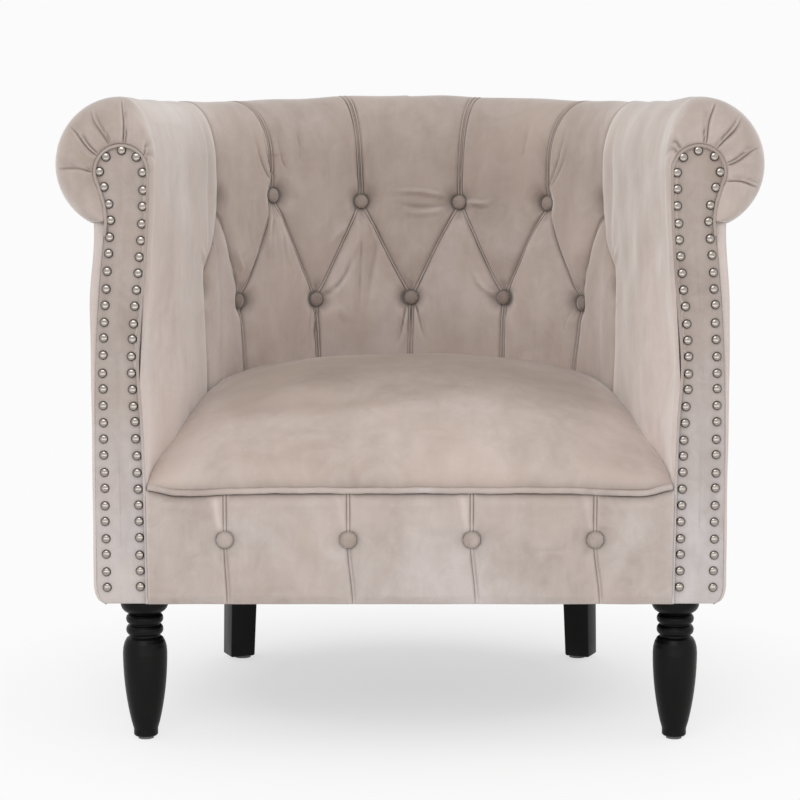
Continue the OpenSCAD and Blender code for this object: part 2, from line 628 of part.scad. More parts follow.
// Buttons of the back, each facing the middle of the tub
module back_button(s, z) {
    p = plan(s, dimple_deep - pad_face(s));
    a = clamp(s / path_r * 180 / PI, -arc_half, arc_half);
    lean = atan((pad_face(s + 5) - pad_face(s - 5)) / 10);
    inwards = 0.6;
    translate([p[0] - inwards * sin(a), p[1] - inwards * cos(a), z])
        rotate([90, 0, -a - lean]) button();
}
module upper_buttons() color(fabric) 
    for (k = [-2.5:1:2.5]) back_button(k * tuft_pitch, upper_row_z);
module lower_buttons() color(fabric) 
    for (k = [-3:3]) let (s = k * tuft_pitch) back_button(s, lower_row_z + end_rise(s, lower_row_z));

// Outside covers
module outside_back() color(shade) arc_bar(cover_in, cover_out, body_z, cover_top);

module outside_arm(side) color(shade) {
    arm_bar(side, cover_in, cover_out, body_z, cover_top, panel_t);
    // The front return, between the panel's edge and the outside
    strip_z = [for (z = outer_z) if (z < cover_top && z > body_z + 1) z];
    edge_x = arm_x(panel_t + 1, cover_out);
    mirror([side < 0 ? 1 : 0, 0, 0]) translate([0, front_y + panel_t, 0]) rotate([90, 0, 0])
        translate([0, 0, -1]) linear_extrude(panel_t + 0.6) polygon(concat(
            [for (z = strip_z) [outer_x(z) + 0.2, z]],
            [[outer_x(body_z) + 0.2, body_z], [edge_x - 3, body_z], [edge_x, body_z + 3],
             [edge_x, cover_top], [outer_x(cover_top) + 0.2, cover_top]]));
}

module scroll_panel(side) color(fabric)
    mirror([side < 0 ? 1 : 0, 0, 0]) translate([0, front_y + panel_t, 0]) rotate([90, 0, 0])
        linear_extrude(panel_t) polygon(panel_outline(0));

// Cord along the panel's inner edge and round its head
module panel_cord(side) color(fabric) {
    edge = [for (z = edge_z) if (z > body_z + 3) [inner_x(z), z]];
    path = concat([[inner_x(body_z), body_z + 1]], edge,
        [for (a = [180:-18:-36]) [head_x + head_r * cos(a), head_z + head_r * sin(a)]],
        [[mix(head_x + head_r, outer_x(neck_z), 0.85), neck_z + 18],
         [outer_x(neck_z), neck_z]]);
    mirror([side < 0 ? 1 : 0, 0, 0])
        tube([for (p = path) [p[0], front_y - panel_cord_d / 2 - fit, p[1]]],
            panel_cord_d / 2, 6);
}

// Nails at even steps along the panel's outline, drawn in by their distance from its edge
function lengths(p, i = 0, sum = 0) = i == len(p) - 1 ? [sum]
    : concat([sum], lengths(p, i + 1, sum + norm(p[i + 1] - p[i])));
function along(p, at, l) = let (i = max([for (j = [0:len(l) - 2]) if (l[j] <= at) j]))
    mix(p[i], p[i + 1], (at - l[i]) / (l[i + 1] - l[i]));
module nail() {
    round_r = (nail_r * nail_r + nail_h * nail_h) / (2 * nail_h);
    rotate_extrude($fn = 32) intersection() {
        translate([0, nail_h - round_r]) circle(r = round_r, $fn = 96);
        square([nail_r + 1, nail_h + 1]);
    }
}
module panel_nails(side) color(steel) {
    path = panel_outline(nail_inset);
    run = lengths(path);
    total = run[len(run) - 1];
    count = floor((total - 12) / nail_pitch);
    gap = (total - 12) / count;
    mirror([side < 0 ? 1 : 0, 0, 0])
        for (i = [0:count]) let (p = along(path, 6 + i * gap - 0.001, run))
            translate([p[0], front_y, p[1]]) rotate([90, 0, 0]) nail();
}

// Legs. A front leg is turned: cup, two beads and a vase that tapers to the foot.
top_z = frame_z;
bead_r = cup_r * 0.78;
neck_r = cup_r * 0.6;
vase_r = cup_r * 0.93;
function bead(z0, z1) = [for (a = [-75:25:75])
    [mix(neck_r, bead_r, cos(a)), mix(z0, z1, 0.5 + 0.5 * sin(a) / sin(75))]];
function leg_profile() = concat(
    [[0, glide_h], [foot_r - 1.2, glide_h], [foot_r, glide_h + 1.5]],
    [for (t = [0:0.1:1]) let (z = mix(glide_h + 8, 101, t))
        [mix(foot_r, vase_r, sin(90 * pow(t, 0.85))) , z]],
    [for (a = [20:20:80]) [mix(neck_r, vase_r, cos(a)), 101 + 20 * sin(a)]],
    bead(122.5, 134.5), bead(135.5, 147),
    [for (a = [10:16:90]) [mix(neck_r, cup_r, sin(a)), 148 + 12 * (1 - cos(a))]],
    [[cup_r, top_z], [0, top_z]]);
module front_leg(side) color(black) difference() {
    translate([side * front_leg_at[0], front_leg_at[1], 0])
        rotate_extrude($fn = 64) polygon(leg_profile());
    translate([side * front_leg_at[0], front_leg_at[1], top_z - 30]) cylinder(r = bolt_r, h = 31);
}

// A rear leg is square and tapers to its foot
module rear_leg(side) color(black) difference() {
    translate([side * rear_leg_xy[0], rear_leg_xy[1], 0]) rotate([0, 0, -side * rear_leg_turn])
        polyhedron(points = [for (e = [[glide_h, rear_leg_foot / 2], [top_z, rear_leg_a / 2]])
                for (c = [[-1, -1], [1, -1], [1, 1], [-1, 1]]) [c[0] * e[1], c[1] * e[1], e[0]]],
            faces = [[0, 1, 2, 3], [7, 6, 5, 4], [0, 4, 5, 1], [1, 5, 6, 2], [2, 6, 7, 3],
                [3, 7, 4, 0]]);
    translate([side * rear_bolt_xy[0], rear_bolt_xy[1], top_z - 30])
        cylinder(r = bolt_r, h = 31);
}

module leg_bolts() color(steel) bolt_places()
    translate([0, 0, top_z - 29]) cylinder(r = bolt_r - 0.15, h = 29 + block_h - 2);

module tee_nuts() color(steel) bolt_places() difference() {
    union() {
        translate([0, 0, frame_z + block_h - 9.8]) cylinder(r = nut_r - 0.15, h = 9.8);
        translate([0, 0, frame_z + block_h]) cylinder(r = 10, h = 1.5);
    }
    translate([0, 0, frame_z]) cylinder(r = bolt_r, h = block_h + 5);
}

module glides() color("#8b8b88") {
    for (side = [-1, 1]) {
        translate([side * front_leg_at[0], front_leg_at[1], 0]) cylinder(r = 9, h = glide_h);
        translate([side * rear_leg_xy[0], rear_leg_xy[1], 0]) cylinder(r = 11, h = glide_h);
    }
}

module dust_cover() color("#1f1f20") difference() {
    translate([0, 0, body_z]) linear_extrude(frame_z - body_z - 0.2)
        polygon(tub_outline(wood_out, post_front + 1));
    for (side = [-1, 1]) {
        translate([side * front_leg_at[0], front_leg_at[1], body_z - 1])
            cylinder(r = cup_r + 0.4, h = 5);
        translate([side * rear_leg_xy[0], rear_leg_xy[1], body_z - 1])
            rotate([0, 0, -side * rear_leg_turn])
                translate([-rear_leg_a / 2 - 0.4, -rear_leg_a / 2 - 0.4, 0])
                    cube([rear_leg_a + 0.8, rear_leg_a + 0.8, 5]);
    }
}

front_rail();
side_rail(-1);  // side_rail_left
side_rail(1);  // side_rail_right
back_rail();
front_post(-1);  // front_post_left
front_post(1);  // front_post_right
arm_top_rail(-1);  // arm_top_rail_left
arm_top_rail(1);  // arm_top_rail_right
back_top_rail();
back_uprights();
corner_blocks();
arm_liner(-1);  // arm_liner_left
arm_liner(1);  // arm_liner_right
back_webbing();
seat_springs();
spring_clips();
seat_deck();
seat_cushion();
seat_welt();
apron_cover();
apron_buttons();
inside_back();
inside_arm(-1);  // inside_arm_left
inside_arm(1);  // inside_arm_right
upper_buttons();
lower_buttons();
outside_back();
outside_arm(-1);  // outside_arm_left
outside_arm(1);  // outside_arm_right
scroll_panel(-1);  // scroll_panel_left
scroll_panel(1);  // scroll_panel_right
panel_cord(-1);  // panel_cord_left
panel_cord(1);  // panel_cord_right
panel_nails(-1);  // panel_nails_left
panel_nails(1);  // panel_nails_right
dust_cover();
front_leg(-1);  // front_leg_left
front_leg(1);  // front_leg_right
rear_leg(-1);  // rear_leg_left
rear_leg(1);  // rear_leg_right
leg_bolts();
tee_nuts();
glides();
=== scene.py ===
import json
import math

import bpy
import numpy as np
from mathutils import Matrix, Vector


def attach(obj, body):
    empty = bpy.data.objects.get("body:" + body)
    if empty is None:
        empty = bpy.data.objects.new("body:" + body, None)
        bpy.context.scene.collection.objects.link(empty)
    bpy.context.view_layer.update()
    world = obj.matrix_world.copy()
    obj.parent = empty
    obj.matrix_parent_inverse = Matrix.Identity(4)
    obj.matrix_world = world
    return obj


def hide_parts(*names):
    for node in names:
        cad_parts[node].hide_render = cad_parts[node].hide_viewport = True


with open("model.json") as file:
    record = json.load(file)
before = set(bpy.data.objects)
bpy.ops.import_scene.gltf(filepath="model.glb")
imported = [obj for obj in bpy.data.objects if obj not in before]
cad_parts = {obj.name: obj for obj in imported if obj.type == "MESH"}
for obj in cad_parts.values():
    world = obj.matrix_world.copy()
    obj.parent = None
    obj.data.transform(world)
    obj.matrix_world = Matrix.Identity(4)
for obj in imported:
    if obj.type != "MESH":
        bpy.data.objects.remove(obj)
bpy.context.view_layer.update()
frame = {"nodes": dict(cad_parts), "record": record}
nodes = frame["nodes"]
print("frame loaded,", len(nodes), "nodes")

# Plan of the walls, in metres: a straight arm on each side and an arc round the back
arcR, tubDepth, splay = 0.285, 0.315, math.radians(7)
frontY, bottomZ, armTop = -0.33385, 0.168, 0.737
rollR, backRise = 0.0757, 0.034  # the roll's radius and how far it rises at the back
sinA, cosA = math.sin(splay), math.cos(splay)
arcLength = arcR * (math.pi / 2 - splay)
tubY = frontY + tubDepth


# Shared shape helpers
def smooth(x):  # 3x^2 - 2x^3 between 0 and 1
    c = np.clip(x, 0, 1)
    return c * c * (3 - 2 * c)


def mix(a, b, t):  # runs straight from a at t = 0 to b at t = 1
    return a + (b - a) * t


def points(*parts):  # coordinates, brought to one shape, as the last axis
    return np.stack(np.broadcast_arrays(*parts), -1)


def bell(x, width):  # gaussian hill
    return np.exp(-(x / width) ** 2)


def closeEnds(count):  # shares from 0 to 1, closer together at both ends
    return 0.5 - 0.5 * np.cos(np.pi * np.linspace(0, 1, count + 1))


def fromLine(u, v, u0, v0, du, dv):
    # share gone along the line that runs by (du, dv) from (u0, v0), and how far off it
    length = math.hypot(du, dv)
    return ((u - u0) * du + (v - v0) * dv) / length ** 2, ((u - u0) * dv - (v - v0) * du) / length


def depthOf(s):  # depth behind the front plane along the straight arms
    return tubDepth + arcR * sinA - (np.abs(s) - arcLength) * cosA


def sOfDepth(d):  # the reverse of depthOf, on the right arm
    return arcLength + (tubDepth + arcR * sinA - d) / cosA


def armX(d, n):  # x of the arm's line at a depth, moved out by n
    return (arcR + n + (tubDepth - d) * sinA) / cosA


sFront = float(sOfDepth(0.0))


def planXY(s, n, slant=1.0):
    # arc: radius + n turned by s / radius; arm: the line moved out by n, square to it
    # where slant is 1 and at one depth where it is 0
    angle = s / arcR
    d = depthOf(s) + n * sinA * slant
    onArc = np.abs(s) <= arcLength
    x = np.where(onArc, (arcR + n) * np.sin(angle), np.sign(s) * armX(d, n))
    y = np.where(onArc, tubY + (arcR + n) * np.cos(angle), frontY + d)
    return x, y


def slantOf(s, d):  # planXY's slant: square to the arm, but along the front plane near the front
    return np.where(np.abs(s) > arcLength, smooth(d / 0.2), 1.0)


def rollZ(s):  # height of the rolled edge's centre, rising towards the back
    soft = 0.09
    far = math.sqrt(sFront ** 2 + soft ** 2) - soft
    lift = 1 - (np.sqrt(s * s + soft * soft) - soft) / far
    return armTop - rollR + backRise * np.maximum(lift, 0) ** 1.6


def padFace(s):  # thickness of the inside padding, thicker round the back
    d = depthOf(s)
    arm = mix(0.028, 0.037, smooth(d / 0.15))
    back = mix(0.048, 0.037, smooth((np.abs(s) - 0.23) / (arcLength - 0.23)))
    return np.where(np.abs(s) >= arcLength, arm, back)


def curveThrough(knots, z):  # Catmull-Rom through (place, value) knots
    k = np.asarray(knots, float)
    i = np.clip(np.searchsorted(k[:, 0], z, side="right") - 1, 0, len(k) - 2)
    a, e = np.maximum(i - 1, 0), np.minimum(i + 2, len(k) - 1)
    gap = k[i + 1, 0] - k[i, 0]
    t = np.clip((z - k[i, 0]) / gap, 0, 1)
    m1 = (k[i + 1, 1] - k[a, 1]) / (k[i + 1, 0] - k[a, 0]) * gap
    m2 = (k[e, 1] - k[i, 1]) / (k[e, 0] - k[i, 0]) * gap
    return ((2 * t ** 3 - 3 * t ** 2 + 1) * k[i, 1] + (t ** 3 - 2 * t ** 2 + t) * m1
            + (3 * t ** 2 - 2 * t ** 3) * k[i + 1, 1] + (t ** 3 - t ** 2) * m2)


def rippleField(seed, count, low, high, u, v):
    # sum of sine waves of random direction and length, scaled to about -1..1
    rng = np.random.default_rng(seed)
    total = np.zeros(np.broadcast(u, v).shape)
    for _ in range(count):
        turn, wave, phase = rng.uniform(0, math.pi), rng.uniform(low, high), rng.uniform(0, 6.28)
        total += np.sin((u * math.cos(turn) + v * math.sin(turn)) * 2 * math.pi / wave + phase)
    return total / math.sqrt(count)


def unit(v):  # vectors of length 1
    return v / np.maximum(np.linalg.norm(v, axis=-1, keepdims=True), 1e-12)


def gridNormals(p):  # square to the grid's two directions
    return unit(np.cross(np.gradient(p, axis=1), np.gradient(p, axis=0)))


sharpTurn = 420.0  # in 1/m; a crease as sharp as this gets its painted shade or highlight in full


def foldOf(p):
    # how sharply a grid turns: the change of its normal over the way gone, summed over both
    # directions; 1 in a sharp hollow and -1 on a sharp crest
    n = gridNormals(p)
    total = np.zeros(p.shape[:2])
    for axis in (0, 1):
        way, change = np.gradient(p, axis=axis), np.gradient(n, axis=axis)
        total -= np.sum(way * change, 2) / np.maximum(np.sum(way * way, 2), 1e-9)
    return np.clip(total / sharpTurn, -1, 1)


def makeGrid(name, grids, wrap="cols", flip=False):
    # one closed mesh from one grid of points or from a list of them: quads between neighbours,
    # joined round its rows or its columns, and a flat face at both open ends
    grids = grids if isinstance(grids, list) else [grids]
    way = -1 if flip else 1
    corners, sizes, base = [], [], 0
    for p in grids:
        own = np.arange(p.shape[0] * p.shape[1]).reshape(p.shape[:2]) + base
        if wrap == "rows":
            index, caps = np.vstack([own, own[:1]]), (own[:, 0], own[::-1, -1])
        else:
            index, caps = np.hstack([own, own[:, :1]]), (own[0, ::-1], own[-1])
        quads = np.stack([index[:-1, :-1], index[:-1, 1:], index[1:, 1:], index[1:, :-1]], -1)
        quads = quads.reshape(-1, 4)
        corners += [quads[:, ::way].ravel()] + [c[::way] for c in caps]
        sizes += [4] * len(quads) + [len(c) for c in caps]
        base += own.size
    corners = np.concatenate(corners).astype(np.int32)
    places = np.concatenate([p.reshape(-1, 3) for p in grids]).astype(np.float32)
    mesh = bpy.data.meshes.new(name)
    mesh.vertices.add(base)
    mesh.vertices.foreach_set("co", places.ravel())
    mesh.loops.add(len(corners))
    mesh.loops.foreach_set("vertex_index", corners)
    mesh.polygons.add(len(sizes))
    mesh.polygons.foreach_set("loop_start", (np.cumsum(sizes) - sizes).astype(np.int32))
    mesh.update(calc_edges=True)
    mesh.validate()
    mesh.polygons.foreach_set("use_smooth", np.ones(len(mesh.polygons), bool))
    obj = bpy.data.objects.new(name, mesh)
    bpy.context.collection.objects.link(obj)
    return obj


def finishPiece(obj, material, replaced, fold=None):
    # the attribute given here is painted shade, up to 1 in a crease's hollow, and painted highlight, down
    # to -1 on its crest, for each point
    obj.data.materials.append(material)
    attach(obj, "root")
    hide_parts(*replaced)
    if fold is not None:
        shade = obj.data.attributes.new("fold", "FLOAT", "POINT")
        shade.data.foreach_set("value", fold.astype(np.float32).ravel())
    return obj


# Shader helpers
class Signal:
    # a value socket, so that shader maths reads as plain arithmetic
    def __init__(self, graph, socket):
        self.graph, self.socket = graph, socket

    def math(self, operation, *other):
        return self.graph.node("Math", {"operation": operation}, (self, *other))

    def __add__(self, o):
        return self.math("ADD", o)

    def __mul__(self, o):
        return self.math("MULTIPLY", o)

    def __pow__(self, o):
        return self.math("POWER", o)

    __radd__, __rmul__ = __add__, __mul__


class Graph:
    # the nodes of a material, or of the world
    def __init__(self, owner, shader="Principled BSDF"):
        owner.use_nodes = True
        self.material, self.tree = owner, owner.node_tree
        self.shader = self.tree.nodes[shader]
        self.place = self.node("TexCoord", output="Object")

    def put(self, socket, value):
        if isinstance(value, Signal):
            self.tree.links.new(value.socket, socket)
        else:
            socket.default_value = value

    def node(self, kind, settings=None, values=(), output=0):
        # values are given in the order of the node's inputs, or by their names
        made = self.tree.nodes.new("ShaderNode" + kind)
        for key, value in (settings or {}).items():
            setattr(made, key, value)
        for key, value in values.items() if isinstance(values, dict) else enumerate(values):
            self.put(made.inputs[key], value)
        return Signal(self, made.outputs[output])

    def noise(self, scale, detail=3.0, rough=0.5, distort=0.0, at=None):
        return self.node("TexNoise", None, {
            "Vector": at or self.place, "Scale": scale, "Detail": detail, "Roughness": rough,
            "Distortion": distort})

    def stretch(self, x, y, z):
        return self.node("Mapping", None, {"Vector": self.place, "Scale": (x, y, z)})

    def axis(self, vector, name):
        return self.node("SeparateXYZ", None, [vector], name)

    def span(self, value, low, high, to0=0.0, to1=1.0):  # clamped at both ends
        return self.node("MapRange", None, (value, low, high, to0, to1))

    def blend(self, factor, a, b, how="MIX"):
        # a mix node takes its colours at inputs 6 and 7 and gives one at output 2
        a, b = (c if isinstance(c, Signal) else (*c, 1) for c in (a, b))
        kind = {"data_type": "RGBA", "blend_type": how}
        return self.node("Mix", kind, {0: factor, 6: a, 7: b}, 2)

    def bump(self, height, strength, distance, **below):
        return self.node("Bump", None, {
            "Height": height, "Strength": strength, "Distance": distance, **below})

    def seenRays(self):  # 1 for the rays that show a thing: to the camera, off metal, through glass
        kinds = ("Is Camera Ray", "Is Glossy Ray", "Is Transmission Ray")
        camera, glossy, through = (self.node("LightPath", output=kind) for kind in kinds)
        return camera.math("MAXIMUM", glossy).math("MAXIMUM", through)

    def set(self, **values):
        for key, value in values.items():
            self.put(self.shader.inputs[key.replace("_", " ")], value)
        return self.material


def newMaterial(name):
    return Graph(bpy.data.materials.new(name))


# Velvet: a short pile, lighter where it is brushed one way and darker the other, with a
# pale sheen at grazing angles
velvetLook = {"light": (0.512, 0.440, 0.405), "dark": (0.372, 0.302, 0.262), "warm": (0.470, 0.375, 0.315),
              "brushScale": 5.5, "pileScale": 900.0}


def velvetMaterial(name, tint=1.0, brush=1.0, top=1.0, flank=1.0, low=1.0, sheen=0.85, flat=0.35,
                   cool=1.0, steep=1.0, hue=(1, 1, 1)):
    # tint scales the colour; top, flank and low paint light and shade into it by the face's way
    # and height: top scales faces that look up (by more than flat), as painted shade; flank scales
    # faces that look sideways, as painted sheen; low scales the lower front, as painted light from below;
    # cool and steep say how grey and how suddenly that painted low light turns; hue leans the whole colour
    g = newMaterial(name)
    scale = velvetLook["brushScale"] * brush
    brushed = g.noise(scale, 4.0, 0.55, 0.6, g.stretch(1.0, 1.0, 0.62))
    streaks = g.noise(scale * 7, 3.0, 0.6, 0.3, g.stretch(1.0, 1.0, 0.22))
    crushed = g.noise(scale * 4.2, 5.0, 0.62, 1.4)
    warmth = g.noise(scale * 1.7, 2.0, 0.5, 0.2)
    pile = g.noise(velvetLook["pileScale"], 2.0, 0.6)
    nap = g.span(0.55 * brushed + 0.2 * streaks + 0.25 * crushed, 0.39, 0.61)
    light, dark, warm = (
        tuple(c * h * tint for c, h in zip(velvetLook[k], hue)) for k in ("light", "dark", "warm"))
    cloth = g.blend(nap, dark, light)
    cloth = g.blend(0.5 * g.span(warmth, 0.45, 0.7), cloth, warm)
    cloth = g.blend(0.22 * g.span(pile, 0.3, 0.7), cloth, dark)
    normal = g.node("NewGeometry", output="Normal")
    across, upward, height = g.axis(normal, "X").math("ABSOLUTE"), g.axis(normal, "Z"), g.axis(g.place, "Z")
    topShadeShare, flankSheenShare = g.span(upward, flat, 0.995), g.span(across, 0.45, 0.95)
    lowLightShare = g.span(height, 0.64, 0.24) ** steep
    for share, level, lean in ((topShadeShare, top, (1, 0.93, 0.845)), (flankSheenShare, flank, (1, 1, 1)),
                               (lowLightShare, low, (1, 1 + 0.03 * cool, 1 + 0.065 * cool))):
        cloth = g.blend(share, cloth, tuple(level * c for c in lean), "MULTIPLY") if level != 1 else cloth
    # painted shade darkens the cloth in the hollows of its creases and painted highlight lightens it on
    # their crests
    fold = g.node("Attribute", {"attribute_name": "fold"}, output="Fac")
    cloth = g.blend(0.72 * g.span(fold, 0.03, 1.0), cloth, tuple(c * 0.22 for c in dark))
    cloth = g.blend(g.span(-1 * fold, 0.08, 2.5), cloth, tuple(c * 1.25 for c in light))
    fine = g.bump(pile, 0.25, 0.0006)
    return g.set(Base_Color=cloth, Roughness=g.span(nap, 0, 1, 0.86, 0.72),
                 Normal=g.bump(streaks, 0.12, 0.002, Normal=fine), Sheen_Weight=sheen, Sheen_Roughness=0.42,
                 Sheen_Tint=(1.0, 0.97, 0.95, 1), Specular_IOR_Level=0.22)


# Lighter, darker and tinted copies of the one velvet, for the light that falls on each part: painted light
# and shade
velvet = velvetMaterial("velvetInside", flank=1.22, low=1.36)
velvetSeat = velvetMaterial("velvetSeat", tint=1.15, top=0.63, sheen=0.5, flat=0.9)
velvetFront = velvetMaterial("velvetFront", brush=1.4, low=1.1)
velvetPanel = velvetMaterial("velvetPanel", tint=0.85, brush=1.4, low=1.45, cool=3.2, steep=2.2)
velvetOutside = velvetMaterial("velvetOutside", tint=1.08, brush=0.8, flank=1.08, low=1.14,
                               hue=(0.99, 1.005, 1.025))
velvetButton = velvetMaterial("velvetButton", tint=0.92, brush=3.0)


def lacquerMaterial():  # black satin lacquer, with brush marks
    g = newMaterial("blackLacquer")
    grain = g.noise(38, 4, 0.6, 0.4, g.stretch(1, 1, 0.12))
    speck = g.noise(420, 2, 0.5)
    colour = g.blend(g.span(grain, 0.35, 0.7), (0.0016, 0.0014, 0.0014), (0.005, 0.0042, 0.004))
    normal = g.bump(0.7 * grain + 0.3 * speck, 0.08, 0.0008)
    return g.set(Base_Color=colour, Roughness=g.span(grain, 0.3, 0.7, 0.34, 0.46), Normal=normal,
                 Specular_IOR_Level=0.13, Coat_Weight=0.03, Coat_Roughness=0.2)


def pewterMaterial():  # polished heads, painted darker towards the rim where they face away from the front, as painted shade
    g = newMaterial("pewterNail")
    film = g.noise(260, 3, 0.6)
    facing = g.axis(g.node("NewGeometry", output="Normal"), "Y")
    frontLitShare = g.span(-1 * facing + 0.1 * film, 0.72, 1.0)
    colour = g.blend(g.span(frontLitShare, 0, 0.35), (0.07, 0.06, 0.053), (0.15, 0.13, 0.116))
    colour = g.blend(g.span(frontLitShare, 0.35, 1), colour, (0.37, 0.33, 0.30))
    return g.set(Base_Color=colour, Metallic=1.0, Roughness=g.span(film, 0.3, 0.7, 0.13, 0.24),
                 Normal=g.bump(film, 0.06, 0.0004))


def hessianMaterial():  # a plain weave, from two wave patterns across each other
    g = newMaterial("hessian")
    warp, weft = (g.node("TexWave", {"bands_direction": axis}, {
        "Vector": g.place, "Scale": 110.0, "Distortion": 1.5}) for axis in "XZ")
    weave = 0.5 * warp + 0.5 * weft
    colour = g.blend(weave, (0.30, 0.25, 0.18), (0.50, 0.43, 0.33))
    return g.set(Base_Color=colour, Roughness=0.9, Normal=g.bump(weave, 0.5, 0.0008))


def dustMaterial():  # thin bonded-fibre cloth
    g = newMaterial("dustCloth")
    fibre, blotch = g.noise(700, 3, 0.7), g.noise(60, 3, 0.6)
    share = g.span(0.6 * fibre + 0.4 * blotch, 0.35, 0.65)
    colour = g.blend(share, (0.010, 0.010, 0.011), (0.030, 0.030, 0.031))
    return g.set(Base_Color=colour, Roughness=0.92, Normal=g.bump(fibre, 0.4, 0.0005))


def plainMaterial(name, noise, bounds, colours, rough, relief, squeeze=(1, 1, 1), **more):
    # one noise blends two colours and two roughnesses and stands up in a fine relief
    g = newMaterial(name)
    grain = g.noise(*noise, at=g.stretch(*squeeze))
    return g.set(Base_Color=g.blend(g.span(grain, *bounds), *colours), Normal=g.bump(grain, *relief),
                 Roughness=g.span(grain, 0.3, 0.7, *rough), **more)


lacquer, pewter, hessian, dustCloth = lacquerMaterial(), pewterMaterial(), hessianMaterial(), dustMaterial()
beech = plainMaterial("beechFrame", (24, 4, 0.6, 0.8), (0.35, 0.65),
                      ((0.52, 0.36, 0.21), (0.66, 0.49, 0.31)), (0.62, 0.62), (0.15, 0.001), (1, 0.15, 1))
steel = plainMaterial("springWire", (90, 4, 0.6), (0.4, 0.7), ((0.42, 0.42, 0.43), (0.30, 0.28, 0.26)),
                      (0.3, 0.5), (0.05, 0.0005), Metallic=1.0)
glidePlastic = plainMaterial("glidePlastic", (300, 3, 0.6), (0.4, 0.7),
                             ((0.16, 0.155, 0.15), (0.24, 0.23, 0.22)), (0.45, 0.65), (0.1, 0.0004))
finishes = {"frame_wood": beech, "inner_cloth": hessian, "spring_steel": steel, "nail_metal": pewter,
            "leg_black": lacquer, "glide_plastic": glidePlastic, "dust_cloth": dustCloth, "velvet": velvet}
for part in frame["record"]["subparts"]:
    for holder in nodes[part["node"]].material_slots:
        holder.material = finishes[part["material_slot"]]
print("materials made")

# Scroll panels' outline
panel = {"nailHead": 0.0062, "nailInset": 0.0078, "nailFoot": 0.0036, "nailPitch": 0.0187,
         "lowNail": 0.187, "headX": 0.3198, "headZ": 0.6528, "headR": 0.030, "thick": 0.008, "puff": 0.0046,
         "corner": 0.011, "cornerHigh": 0.021, "neckDrop": 0.054,
         "inner": [[.168, .296], [.301, .2977], [.377, .3002], [.433, .3036], [.478, .3011],
                   [.545, .2947], [.6108, .2906], [.6528, .2898]],
         "outer": [[.168, .3535], [.343, .3533], [.455, .3505], [.533, .3449], [.5988, .3379]]}
neckZ = panel["headZ"] - panel["neckDrop"]


def innerX(z):  # x of the panel's inner edge at a height
    return curveThrough(panel["inner"], np.clip(z, bottomZ, panel["headZ"]))


def outerX(z):  # and of its outer edge, below the neck
    return curveThrough(panel["outer"], np.clip(z, bottomZ, neckZ))


def footCorner(z):  # how far the rounded lower corner draws the edge in
    up = np.clip((z - bottomZ) / panel["cornerHigh"], 0, 1)
    return panel["corner"] * (1 - np.sqrt(1 - (1 - up) ** 2))


# The seat's edge against the arms and its crown, as (depth, height)
seat = {"edge": [[-.06, .270], [0, .3012], [.055, .319], [.13, .351], [.24, .377], [.32, .388],
                 [.407, .396], [.56, .392]],
        "crownLine": [[-.04, .210], [0, .2977], [.014, .333], [.045, .363], [.10, .391], [.18, .414],
                      [.30, .426], [.40, .423], [.56, .402]], "rim": 0.2385, "across": 90, "along": 120}

# Inside cover
# One padded skin runs round the arms and the back, over the rolled edge and in under it.
# A fold runs from each lower button to the two upper ones beside it, straight down below the
# lower row and, leaning outwards, up over the roll above the upper row.
tuft = {"pitch": 0.1542, "lowZ": 0.490, "highZ": 0.622, "endRise": 0.025, "valley": 0.0112,
        "button": 0.0190, "buttonR": 0.0092, "reach": 0.030, "strip": 0.0026, "lip": 0.0022,
        "ridge": 0.0034, "crease": 0.0021, "seatZ": 0.2625, "cell": 48, "arm": 60, "front": 28,
        "rows": 170, "rollRows": 120, "lipDepth": 0.026, "overRoll": 0.062, "joinGap": 0.0018,
        "wellWide": 0.87, "creaseWide": 0.0024}
pitch, lowZ, highZ = tuft["pitch"], tuft["lowZ"], tuft["highZ"]
rollSweep = (180, -62)  # degrees round the roll, from its inner face; outwards is 0, up is 90
pleatAngles = {-1: [143, 97, 64, 36, -1], 1: [124, 78, 50, 15, -19]}
sLip = float(sOfDepth(tuft["lipDepth"]))

# How far the cloth at each button has been pulled from its even place, as (s, z, along, up) in mm
pulls = [(-231, 622, -3, 9), (-77, 622, 0, 1), (77, 622, 1, 0), (231, 622, 4, -2), (-386, 622, 0, 2),
         (386, 622, 0, -3), (-154, 490, 1, -1), (0, 490, 2, 0), (154, 490, -2, 1), (308, 490, 3, -2),
         (-308, 490, -2, 1)]


def pulled(s, z):  # each button draws the cloth round it along, by a gaussian hill about its place
    along, up = np.zeros(np.shape(s)), np.zeros(np.shape(s))
    for s0, z0, ds, dz in np.array(pulls) / 1000:
        near = bell(s - s0, 0.055) * bell(z - z0, 0.05)
        along, up = along + near * ds, up + near * dz
    return along, up


def foldShare(z):
    # how far a fold has moved from a lower button towards the upper one beside it, in pitches
    least = tuft["strip"] / pitch
    return np.clip((z - lowZ) / (highZ - lowZ) / 2, least, 0.5 - least)


def endRise(s, z):  # the lower row lifts towards its two ends
    top, low = highZ - 0.012, lowZ
    along = smooth((np.abs(s) / pitch - 2.2) / 0.8)
    up = np.where(z < low, (z - tuft["seatZ"]) / (low - tuft["seatZ"] - 0.012), (top - z) / (top - low))
    return tuft["endRise"] * along * smooth(up)


def pleatLean(u, z):  # above the upper row the pleats lean outwards
    v = np.clip((z - highZ) / 0.15, 0, 1.3)
    share = np.interp(np.abs(u), [0, 0.5, 1.5, 2.5, 3.12], [0, 0.11, 0.30, 0.30, 0])
    return np.sign(u) * share * v ** 1.4


